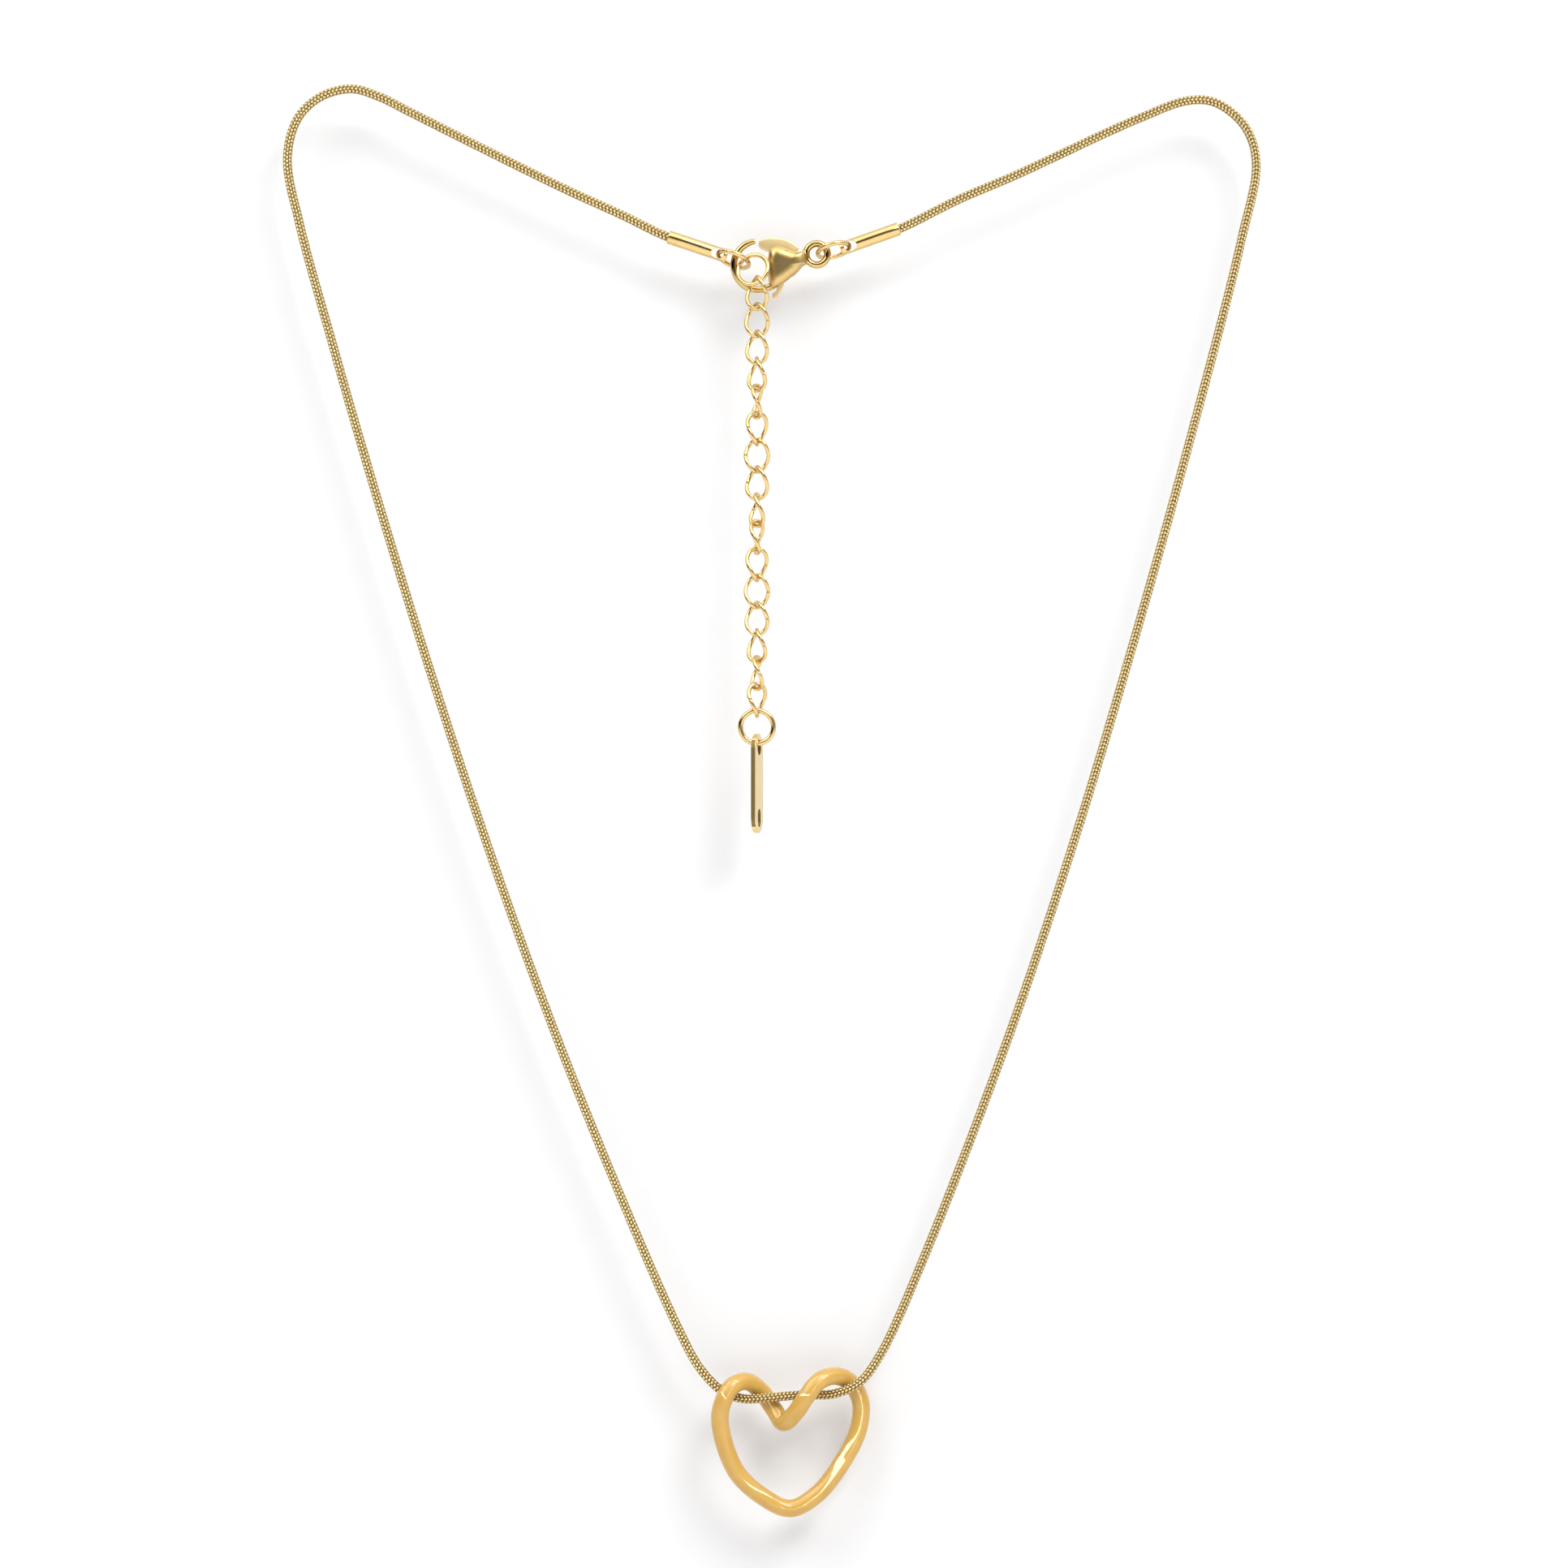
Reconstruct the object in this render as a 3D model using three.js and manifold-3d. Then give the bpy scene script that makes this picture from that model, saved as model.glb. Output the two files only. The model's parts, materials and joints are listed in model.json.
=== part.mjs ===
// A pendant necklace: an open heart threaded on a fine snake chain, closed at the nape by a
// lobster clasp, with a twisted-link extender that ends in a ring and a small flat tag.
//
// Frame: millimetres, +X to the right seen from the front, +Z up, and -Y is the front. The origin
// is midway between the two supports that the chain hangs over, and the necklace hangs below it.
import * as THREE from "three";
import { mergeVertices } from "three/addons/utils/BufferGeometryUtils.js";
import Module from "manifold-3d";

const wasm = await Module();
wasm.setup();

// ---------------------------------------------------------------- driving dimensions
// snake chain
const CHAIN_DIAMETER = 1.0;
const CHAIN_SIDES = 8;
const CHAIN_STEPS = 84; // rings of corners along its whole length

// end caps: a tube glued on each end of the chain, with an oblong eyelet across its far end
const CAP_LENGTH = 6.46;
const CAP_DIAMETER = 1.42;
const CAP_BORE_CLEARANCE = 0.12; // on the chain's diameter
const CAP_BORE_DEPTH = 1.6;
const CAP_CHAMFER = 0.1; // at the closed end, and half of it at the mouth
const CAP_SIDES = 20;
const CHAIN_IN_CAP = 1.4;
const EYELET_FROM_END = 1.05;
const EYELET_WIDTH = 1.1;
const EYELET_LENGTH = 1.36;
const LEFT_CAP_TILT = 18.5; // degrees, falling towards the clasp
const RIGHT_CAP_TILT = 19.5;

// round wire rings
const JUMP_RING_OUTER = 3.9;
const JUMP_RING_WIRE = 0.5;
const EXTENDER_RING_OUTER = 3.8;
const EXTENDER_RING_WIRE = 0.44;
const TAG_RING_OUTER = 4.0;
const TAG_RING_WIRE = 0.56;
const SEAM = 0.06; // the hairline cut where a bent wire closes
const CONTACT = 0.1; // clearance where one wire rests on another
const RING_STEPS = 24;

// twisted oval links of the extender
const LINK_COUNT = 16;
const LINK_LENGTH = 3.79;
const LINK_WIDTH = 2.8;
const LINK_WIRE = 0.43;
const LINK_TWIST = 80; // degrees, from a link's bottom to its top
const LINK_STEPS = 18;
// How far each link is turned about the line it hangs on, top link first, degrees.
const LINK_TURNS = [
  -36, -20, -34, -54, -92, -138, -178, -212, -250, -285, -322, -360, -385, -412, -440, -486,
];

// tag at the end of the extender: a flat bar with round ends
const TAG_LENGTH = 10.4;
const TAG_WIDTH = 3.6;
const TAG_THICKNESS = 0.5;
const TAG_EDGE_ROUND = 0.06;
const TAG_HOLE = 1.6;
const TAG_SLOT_WIDTH = 1.3;
const TAG_SLOT_LENGTH = 1.9;
const TAG_RIM = 0.65; // metal left between the hole and the top end
const TAG_TURN = 77; // degrees about the vertical, almost edge-on to the front

// lobster clasp, drawn with the hook's centre at (0, 0) and the loop along +x
const CLASP_TILT = 10.8; // degrees, rising towards the loop
const CLASP_THICKNESS = 2.2;
const CHEEK_ROUND = 0.42;
const HOOK_RADIUS = 2.54; // to the middle of the wire
const HOOK_WIRE = 0.74;
const HOOK_START = -62; // degrees, where the wire leaves the body
const HOOK_TIP = 86;
const HOOK_STEPS = 22;
const HOOK_SIDES = 10;
const LOOP_OFFSET = 6.265;
const LOOP_RADIUS = 1.12;
const LOOP_WIRE = 0.76;
const LOOP_STEPS = 20;
const LOOP_SIDES = 8;
const SLOT_WIDTH = 0.96;
const LEVER_THICKNESS = 0.8;
const LEVER_ROUND = 0.12;
const PIN_DIAMETER = 0.56;
const PIN_CLEARANCE = 0.03; // radial, in the lever and in the cheeks
const PIN_RECESS = 0.05; // from each cheek's face to the pin's end
const PIVOT = [3.1, 0.75];
const SPRING_WIRE = 0.13;
const SPRING_OUTER = 0.72;
const SPRING_COILS = 4;
const SPRING_FROM = 2.36; // the lever's arm
const SPRING_TO = 3.3; // the slot's end wall
const SPRING_HEIGHT = -1.35;
const SPRING_STEPS = 34;
const SPRING_SIDES = 5;

// heart pendant
const HEART_TUBE = 1.86;
const HEART_STEPS = 64;
const HEART_SIDES = 12;

// ---------------------------------------------------------------- where things hang
const HOOK_CENTRE = new THREE.Vector3(-1.615, 0, -18.207);
const HOOK_RING_BEARING = 165.8; // degrees, from the hook's centre to the left jump ring's
const HOOK_RING_TILT = 20.2; // degrees, the ring's long diameter falling to the right
const LOOP_RING_TILT = 14; // degrees, the right ring's long diameter rising to the right
const RING_OPENING = 17; // degrees, how far the two jump rings lean open to the front
const WIRE_IN_EYELET = 0.08; // from the eyelet's centre to the ring wire's
const RING_PLAY = 0.525; // beside the hook's wire and the extender ring's in the left jump ring
// From the jump ring's far side to the extender ring's centre, in the extender ring's radii.
const EXTENDER_RING_DROP = [0.2625, -0.706, -0.377];
const EXTENDER_RING_TURN = -21.2; // degrees about the vertical
const EXTENDER_RING_LEAN = 17.9; // degrees, its top falling to the back
const EXTENDER_LINE_X = -1.72; // the line that the extender hangs along

// The chain's middle line, from the left cap's bore to the right cap's. Each row is x, z and
// how far the chain sits behind the plane of the necklace.
const CHAIN_LEFT_RUN = [
  [-15.77, -12.97, 0],
  [-21.8, -10.22, 0],
  [-31.06, -5.66, 0],
  [-37.99, -2.18, 0],
  [-41.43, -0.48, 0],
  [-44.2, 0.28, 0],
  [-47.35, -0.51, 0],
  [-49.81, -2.8, 0],
  [-50.9, -7.0, 0],
  [-49.59, -14.0, 0],
  [-46.25, -26.17, 0],
  [-42.78, -38.27, 0],
  [-37.1, -57.04, 0],
  [-30.83, -76.35, 0],
  [-24.02, -95.55, 0],
  [-16.67, -114.09, 0],
  [-9.85, -129.77, 0],
  [-7.7, -133.7, 0.05],
  [-5.3, -136.15, 0.25],
];
const CHAIN_IN_HEART = [
  [-3.3, -136.85, 0.0],
  [-0.85, -136.77, -0.25],
  [1.2, -136.6, 0.0],
  [3.3, -136.5, 0.25],
  [6.2, -136.4, 0.1],
];
const CHAIN_RIGHT_RUN = [
  [8.9, -135.2, -0.25],
  [11.13, -132.32, -0.1],
  [15.76, -122.04, 0],
  [24.8, -98.44, 0],
  [31.73, -77.66, 0],
  [37.77, -57.43, 0],
  [43.56, -36.66, 0],
  [48.98, -15.6, 0],
  [50.54, -7.4, 0],
  [49.38, -3.68, 0],
  [46.37, -1.2, 0],
  [43.53, -0.93, 0],
  [38.18, -2.85, 0],
  [25.21, -8.82, 0],
  [19.46, -11.27, 0],
];

// The heart's middle line, anticlockwise from its left side, in the same three columns. The
// tube winds round the chain: front, back, front, back.
const HEART_LINE = [
  [-5.6, -139.0, -1.15],
  [-5.1, -136.6, -1.4],
  [-4.2, -135.35, -0.9],
  [-2.7, -135.15, 0.35],
  [-1.2, -136.4, 1.3],
  [0.1, -138.2, 1.0],
  [1.05, -139.35, 0.0],
  [2.2, -138.3, -1.0],
  [3.4, -136.5, -1.3],
  [4.8, -134.9, -0.8],
  [6.5, -134.55, 0.35],
  [8.1, -135.4, 1.4],
  [9.15, -137.4, 1.5],
  [8.9, -140.3, 1.3],
  [7.3, -143.5, 0.85],
  [4.6, -146.9, 0.35],
  [1.75, -148.35, -0.1],
  [-1.2, -147.0, -0.45],
  [-4.0, -144.2, -0.8],
];

// ---------------------------------------------------------------- materials
const finish = (color, roughness) =>
  new THREE.MeshStandardMaterial({ color, roughness, metalness: 1 });
const polishedGold = () => finish(0xdcae52, 0.18);
const warmGold = () => finish(0xe0a640, 0.14);
const satinGold = () => finish(0xcfa75a, 0.42);
const darkGold = () => finish(0xb4924c, 0.35);
const steel = () => finish(0xb9bcc0, 0.3);

// ---------------------------------------------------------------- solids
// A closed geometry as a solid that can be cut and joined.
function solid(geometry) {
  const bare = geometry.clone();
  bare.deleteAttribute("normal");
  bare.deleteAttribute("uv");
  const merged = mergeVertices(bare, 1e-4);
  const vertProperties = new Float32Array(merged.attributes.position.array);
  const triVerts = new Uint32Array(merged.index.array);
  return new wasm.Manifold(new wasm.Mesh({ numProp: 3, vertProperties, triVerts }));
}

function geometryOf(shape) {
  const made = shape.getMesh();
  const geometry = new THREE.BufferGeometry();
  geometry.setAttribute("position", new THREE.BufferAttribute(made.vertProperties, 3));
  geometry.setIndex(new THREE.BufferAttribute(made.triVerts, 1));
  geometry.computeVertexNormals();
  return geometry;
}

const necklace = new THREE.Group();
necklace.name = "pendant_necklace";

function addPiece(name, geometry, material, parent = necklace) {
  const piece = new THREE.Mesh(geometry, material);
  piece.name = name;
  parent.add(piece);
  return piece;
}

// A group whose local xy drawing stands upright: x to the right, y up, z to the front.
function upright(position, turn = 0) {
  const stand = new THREE.Group();
  stand.position.copy(position);
  stand.rotation.set(Math.PI / 2, 0, THREE.MathUtils.degToRad(turn));
  necklace.add(stand);
  return stand;
}

// A point at a distance and an angle in the plane of the necklace.
function reach(from, angle, distance) {
  const radians = THREE.MathUtils.degToRad(angle);
  const step = new THREE.Vector3(Math.cos(radians), 0, Math.sin(radians));
  return from.clone().addScaledVector(step, distance);
}

function circleSection(radius, sides) {
  const corners = [];
  for (let i = 0; i < sides; i += 1) {
    const angle = (2 * Math.PI * (i + 0.5)) / sides;
    corners.push(new THREE.Vector2(radius * Math.cos(angle), radius * Math.sin(angle)));
  }
  return new THREE.Shape(corners);
}

function bentWire(path, diameter, steps, sides = 8) {
  const section = circleSection(diameter / 2, sides);
  return new THREE.ExtrudeGeometry(section, { steps, extrudePath: path, curveSegments: 1 });
}

function plate(outline, thickness, round, segments) {
  const geometry = new THREE.ExtrudeGeometry(outline, {
    depth: thickness - 2 * round,
    bevelEnabled: round > 0,
    bevelThickness: round,
    bevelSize: round,
    bevelOffset: -round,
    bevelSegments: segments,
    curveSegments: 4,
  });
  return geometry.translate(0, 0, round - thickness / 2);
}

function crossPin(x, y, diameter, length, sides = 16) {
  const pin = new THREE.CylinderGeometry(diameter / 2, diameter / 2, length, sides);
  return pin.rotateX(Math.PI / 2).translate(x, y, 0);
}

// ---------------------------------------------------------------- curves
// A round wire bent almost to a full circle in the local xy plane, cut at the seam.
class RingPath extends THREE.Curve {
  constructor(radius, seamAt, from = SEAM / radius / 2, to = 2 * Math.PI - SEAM / radius / 2) {
    super();
    this.radius = radius;
    this.from = from + THREE.MathUtils.degToRad(seamAt);
    this.to = to + THREE.MathUtils.degToRad(seamAt);
  }
  getPoint(t, target = new THREE.Vector3()) {
    const angle = THREE.MathUtils.lerp(this.from, this.to, t);
    return target.set(this.radius * Math.cos(angle), this.radius * Math.sin(angle), 0);
  }
}

// An oval wire link twisted about its long axis z: the wire leans to the front on the right at
// the top and on the left at the bottom.
class TwistedLinkPath extends THREE.Curve {
  constructor(turn) {
    super();
    this.halfWidth = (LINK_WIDTH - LINK_WIRE) / 2;
    this.halfHeight = (LINK_LENGTH - LINK_WIRE) / 2;
    this.turn = THREE.MathUtils.degToRad(turn);
    this.twist = THREE.MathUtils.degToRad(LINK_TWIST);
    this.seam = SEAM / this.halfHeight / 2;
  }
  getPoint(t, target = new THREE.Vector3()) {
    const angle = THREE.MathUtils.lerp(this.seam, 2 * Math.PI - this.seam, t);
    const side = this.halfWidth * Math.cos(angle);
    const lean = this.turn - (this.twist / 2) * Math.sin(angle);
    const rise = this.halfHeight * Math.sin(angle);
    return target.set(side * Math.cos(lean), side * Math.sin(lean), rise);
  }
}

class SpringPath extends THREE.Curve {
  constructor(length, radius, coils) {
    super();
    this.length = length;
    this.radius = radius;
    this.coils = coils;
  }
  getPoint(t, target = new THREE.Vector3()) {
    const angle = 2 * Math.PI * this.coils * t;
    return target.set(
      this.length * (t - 0.5),
      this.radius * Math.cos(angle),
      this.radius * Math.sin(angle),
    );
  }
}

// A curve whose steps are shared evenly between its points, so they are close where it bends.
class PointedPath extends THREE.CatmullRomCurve3 {
  getUtoTmapping(u) {
    return u;
  }
}

const toVector = ([x, z, back]) => new THREE.Vector3(x, back, z);

// ---------------------------------------------------------------- jump rings and caps
const jumpRingRadius = (JUMP_RING_OUTER - JUMP_RING_WIRE) / 2;
const jumpRingInner = jumpRingRadius - JUMP_RING_WIRE / 2;

// The hook's wire and the extender ring's both pass through the left jump ring, side by side.
const hookInsideRing = jumpRingInner - HOOK_WIRE / 2 - EXTENDER_RING_WIRE - RING_PLAY;
const leftRingCentre = reach(HOOK_CENTRE, HOOK_RING_BEARING, HOOK_RADIUS + hookInsideRing);
const leftEyelet = reach(
  leftRingCentre,
  180 - HOOK_RING_TILT,
  jumpRingRadius + WIRE_IN_EYELET,
);
const loopCentre = reach(HOOK_CENTRE, CLASP_TILT, LOOP_OFFSET);
const rightRingCentre = reach(loopCentre, LOOP_RING_TILT, jumpRingRadius + CONTACT);
const rightEyelet = reach(rightRingCentre, LOOP_RING_TILT, jumpRingRadius + WIRE_IN_EYELET);

// The ring's long diameter lies along the tilt. The ring stands edge-on to the front and leans
// open, so that its front strand passes above its back strand.
function jumpRing(name, centre, tilt, seamAt) {
  const stand = upright(centre, tilt);
  const ring = addPiece(
    name,
    bentWire(new RingPath(jumpRingRadius, seamAt), JUMP_RING_WIRE, RING_STEPS),
    polishedGold(),
    stand,
  );
  ring.rotation.x = THREE.MathUtils.degToRad(90 - RING_OPENING);
}
jumpRing("left_jump_ring", leftRingCentre, -HOOK_RING_TILT, 120);
jumpRing("right_jump_ring", rightRingCentre, LOOP_RING_TILT, -75);

// The cap's axis is the local y axis and its closed end is at y = 0.
function endCap(name, eyelet, turn) {
  const radius = CAP_DIAMETER / 2;
  const bore = (CHAIN_DIAMETER + CAP_BORE_CLEARANCE) / 2;
  const profile = [
    [0, 0],
    [radius - CAP_CHAMFER, 0],
    [radius, CAP_CHAMFER],
    [radius, CAP_LENGTH - CAP_CHAMFER / 2],
    [radius - CAP_CHAMFER / 2, CAP_LENGTH],
    [bore, CAP_LENGTH],
    [bore, CAP_LENGTH - CAP_BORE_DEPTH],
    [0, CAP_LENGTH - CAP_BORE_DEPTH],
  ].map(([r, y]) => new THREE.Vector2(r, y));
  const halfSlot = (EYELET_LENGTH - EYELET_WIDTH) / 2;
  const slot = new THREE.Shape();
  slot.absarc(0, halfSlot, EYELET_WIDTH / 2, 0, Math.PI);
  slot.absarc(0, -halfSlot, EYELET_WIDTH / 2, Math.PI, 2 * Math.PI);
  const cutter = plate(slot, 2 * CAP_DIAMETER, 0, 1).translate(0, EYELET_FROM_END, 0);
  const tube = solid(new THREE.LatheGeometry(profile, CAP_SIDES));
  const cap = geometryOf(tube.subtract(solid(cutter)));
  cap.translate(0, -EYELET_FROM_END, 0);
  addPiece(name, cap, polishedGold(), upright(eyelet, turn));
}
endCap("left_end_cap", leftEyelet, 90 - LEFT_CAP_TILT);
endCap("right_end_cap", rightEyelet, RIGHT_CAP_TILT - 90);

// ---------------------------------------------------------------- snake chain
function chainStart(eyelet, angle) {
  const mouth = CAP_LENGTH - EYELET_FROM_END;
  return [
    reach(eyelet, angle, mouth - CHAIN_IN_CAP),
    reach(eyelet, angle, mouth + CHAIN_DIAMETER / 2),
  ];
}
const chainPath = new PointedPath([
  ...chainStart(leftEyelet, 180 - LEFT_CAP_TILT),
  ...CHAIN_LEFT_RUN.map(toVector),
  ...CHAIN_IN_HEART.map(toVector),
  ...CHAIN_RIGHT_RUN.map(toVector),
  ...chainStart(rightEyelet, RIGHT_CAP_TILT).reverse(),
]);
addPiece(
  "snake_chain",
  bentWire(chainPath, CHAIN_DIAMETER, CHAIN_STEPS, CHAIN_SIDES),
  polishedGold(),
);

// ---------------------------------------------------------------- heart pendant
const heartPath = new THREE.CatmullRomCurve3(HEART_LINE.map(toVector), true);
addPiece(
  "heart_pendant",
  new THREE.TubeGeometry(heartPath, HEART_STEPS, HEART_TUBE / 2, HEART_SIDES, true),
  warmGold(),
);

// ---------------------------------------------------------------- lobster clasp
const clasp = upright(HOOK_CENTRE, CLASP_TILT);

function outlineOf(points) {
  return new THREE.Shape(points.map(([x, y]) => new THREE.Vector2(x, y)));
}

// The body is one casting: two cheeks joined at the left edge and at the neck, the hook and
// the loop. The slot between the cheeks holds the lever.
const CHEEK = [
  [0.92, -2.7],
  [0.86, -0.6],
  [1.1, 0.7],
  [1.5, 1.5],
  [2.05, 1.78],
  [2.7, 1.55],
  [3.4, 1.15],
  [4.5, 0.6],
  [5.1, 0.5],
  [5.1, -0.75],
  [4.55, -1.0],
  [4.05, -1.42],
  [3.0, -2.02],
  [1.9, -2.5],
];
const LEVER_SPACE = [
  [1.36, -4.0],
  [1.36, 0.25],
  [0.6, 0.9],
  [0.3, 3.4],
  [4.7, 3.4],
  [4.72, 0.75],
  [3.95, 0.2],
  [3.45, -0.25],
  [3.32, -1.0],
  [3.3, -4.0],
];
function claspBody() {
  const hookPath = new RingPath(
    HOOK_RADIUS,
    0,
    THREE.MathUtils.degToRad(HOOK_TIP),
    THREE.MathUtils.degToRad(360 + HOOK_START),
  );
  const hook = solid(bentWire(hookPath, HOOK_WIRE, HOOK_STEPS, HOOK_SIDES));
  const loopRing = new THREE.TorusGeometry(LOOP_RADIUS, LOOP_WIRE / 2, LOOP_SIDES, LOOP_STEPS);
  const loop = solid(loopRing.translate(LOOP_OFFSET, 0, 0));
  const pillow = solid(plate(outlineOf(CHEEK), CLASP_THICKNESS, CHEEK_ROUND, 3));
  const space = solid(plate(outlineOf(LEVER_SPACE), SLOT_WIDTH, 0, 1));
  const pinHole = solid(crossPin(...PIVOT, PIN_DIAMETER, 2 * CLASP_THICKNESS));
  const holeWidth = 2 * LOOP_RADIUS - LOOP_WIRE;
  const ringHole = solid(
    crossPin(LOOP_OFFSET, 0, holeWidth, 2 * CLASP_THICKNESS, LOOP_STEPS),
  );
  return pillow.subtract(ringHole).subtract(space).subtract(pinHole).add(hook).add(loop);
}
addPiece("clasp_body", geometryOf(claspBody()), satinGold(), clasp);

// The lever: its nose closes the hook, its back fills the slot, and its tab is the thumb catch.
const LEVER = [
  [0.52, 2.3],
  [0.62, 2.47],
  [0.95, 2.57],
  [1.6, 2.57],
  [2.25, 2.43],
  [3.0, 2.22],
  [3.7, 1.85],
  [4.25, 1.35],
  [4.55, 0.92],
  [4.2, 0.72],
  [3.7, 0.3],
  [3.1, 0.08],
  [2.6, 0.05],
  [2.34, -0.6],
  [2.3, -2.45],
  [1.74, -3.23],
  [1.3, -3.73],
  [0.9, -3.73],
  [0.96, -3.2],
  [1.46, -2.85],
  [1.48, -0.8],
  [1.52, 0.3],
  [1.4, 1.1],
  [0.58, 1.72],
  [0.46, 2.0],
];
const leverHole = crossPin(...PIVOT, PIN_DIAMETER + 2 * PIN_CLEARANCE, 2 * CLASP_THICKNESS);
const leverPlate = solid(plate(outlineOf(LEVER), LEVER_THICKNESS, LEVER_ROUND, 1));
addPiece(
  "clasp_lever",
  geometryOf(leverPlate.subtract(solid(leverHole))),
  satinGold(),
  clasp,
);
addPiece(
  "clasp_pivot_pin",
  crossPin(...PIVOT, PIN_DIAMETER - 2 * PIN_CLEARANCE, CLASP_THICKNESS - 2 * PIN_RECESS),
  satinGold(),
  clasp,
);

// The return spring lies across the slot, between the lever's arm and the neck.
const springLength = SPRING_TO - SPRING_FROM - SPRING_WIRE - 2 * CONTACT;
const spring = new SpringPath(springLength, (SPRING_OUTER - SPRING_WIRE) / 2, SPRING_COILS);
const springPiece = addPiece(
  "clasp_spring",
  bentWire(spring, SPRING_WIRE, SPRING_STEPS, SPRING_SIDES),
  steel(),
  clasp,
);
springPiece.position.set((SPRING_FROM + SPRING_TO) / 2, SPRING_HEIGHT, 0);

// ---------------------------------------------------------------- extender
// It hangs on the far side of the left jump ring, to the front of the hook.
const extenderRingRadius = (EXTENDER_RING_OUTER - EXTENDER_RING_WIRE) / 2;
const extenderRingCentre = reach(leftRingCentre, -HOOK_RING_TILT, jumpRingRadius);
const ringDrop = new THREE.Vector3(...EXTENDER_RING_DROP);
extenderRingCentre.addScaledVector(ringDrop, extenderRingRadius);
const extenderRingTurn = new THREE.Euler(
  THREE.MathUtils.degToRad(90 - EXTENDER_RING_LEAN),
  0,
  THREE.MathUtils.degToRad(EXTENDER_RING_TURN),
  "ZYX",
);
const extenderRing = addPiece(
  "extender_ring",
  bentWire(new RingPath(extenderRingRadius, 160), EXTENDER_RING_WIRE, RING_STEPS),
  polishedGold(),
);
extenderRing.position.copy(extenderRingCentre);
extenderRing.rotation.copy(extenderRingTurn);

// The lowest point of the leaning ring on the line that the extender hangs along.
function ringPointAbove(x) {
  const across = new THREE.Vector3(1, 0, 0).applyEuler(extenderRingTurn);
  const up = new THREE.Vector3(0, 1, 0).applyEuler(extenderRingTurn);
  const reachX = (x - extenderRingCentre.x) / extenderRingRadius;
  const size = Math.hypot(across.x, up.x);
  const angle = Math.atan2(up.x, across.x) - Math.acos(reachX / size);
  return extenderRingCentre.clone()
    .addScaledVector(across, extenderRingRadius * Math.cos(angle))
    .addScaledVector(up, extenderRingRadius * Math.sin(angle));
}
const hangPoint = ringPointAbove(EXTENDER_LINE_X);
const wireRest = (EXTENDER_RING_WIRE + LINK_WIRE) / 2 + CONTACT;
const firstLinkTop = hangPoint.z + wireRest + CONTACT;
const linkReach = LINK_LENGTH - LINK_WIRE; // from the top wire's middle to the bottom wire's
const linkPitch = linkReach - LINK_WIRE - CONTACT;
for (let i = 0; i < LINK_COUNT; i += 1) {
  const link = addPiece(
    "extender_link_" + String(i + 1).padStart(2, "0"),
    bentWire(new TwistedLinkPath(LINK_TURNS[i]), LINK_WIRE, LINK_STEPS),
    polishedGold(),
  );
  link.position.set(hangPoint.x, hangPoint.y, firstLinkTop - linkReach / 2 - i * linkPitch);
}

// The tag's ring faces the front and hangs in the last link. The tag hangs in the ring.
const lastLinkBottom = firstLinkTop - linkReach - (LINK_COUNT - 1) * linkPitch;
const tagRingRadius = (TAG_RING_OUTER - TAG_RING_WIRE) / 2;
const tagRingTop = lastLinkBottom + (LINK_WIRE + TAG_RING_WIRE) / 2 + CONTACT;
const tagRingCentre = new THREE.Vector3(hangPoint.x, hangPoint.y, tagRingTop - tagRingRadius);
addPiece(
  "tag_ring",
  bentWire(new RingPath(tagRingRadius, 238), TAG_RING_WIRE, RING_STEPS),
  polishedGold(),
  upright(tagRingCentre),
);

// The tag is drawn with its hole's centre at (0, 0) and its long side down.
function tagOutline() {
  const half = TAG_WIDTH / 2;
  const top = TAG_RIM + TAG_HOLE / 2;
  const outline = new THREE.Shape();
  outline.absarc(0, top - half, half, 0, Math.PI);
  outline.absarc(0, top - TAG_LENGTH + half, half, Math.PI, 2 * Math.PI);
  const hole = new THREE.Path().absarc(0, 0, TAG_HOLE / 2, 0, 2 * Math.PI, true);
  const slotMiddle = top - TAG_LENGTH + TAG_RIM + TAG_SLOT_LENGTH / 2;
  const slotReach = (TAG_SLOT_LENGTH - TAG_SLOT_WIDTH) / 2;
  const slot = new THREE.Path();
  slot.absarc(0, slotMiddle + slotReach, TAG_SLOT_WIDTH / 2, 0, Math.PI);
  slot.absarc(0, slotMiddle - slotReach, TAG_SLOT_WIDTH / 2, Math.PI, 2 * Math.PI);
  outline.holes.push(hole, slot);
  return outline;
}
const tagHang = tagRingCentre.clone();
tagHang.z += TAG_RING_WIRE / 2 + CONTACT - tagRingRadius - TAG_HOLE / 2;
const tagStand = upright(tagHang);
const tag = addPiece(
  "end_tag",
  plate(tagOutline(), TAG_THICKNESS, TAG_EDGE_ROUND, 1),
  darkGold(),
  tagStand,
);
tag.rotation.y = THREE.MathUtils.degToRad(TAG_TURN);

export default necklace;
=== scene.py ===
# %% [markdown]
# # A pendant necklace
# An open heart hangs on a fine snake chain. A lobster clasp closes the chain at the top, and a
# row of twisted links with a small tag hangs from it. The engineering model holds every piece
# in its right place. This lesson dresses it: each wire, tube and plate is rebuilt as a smooth
# surface from a formula, and each gets a finish of its own.

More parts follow.
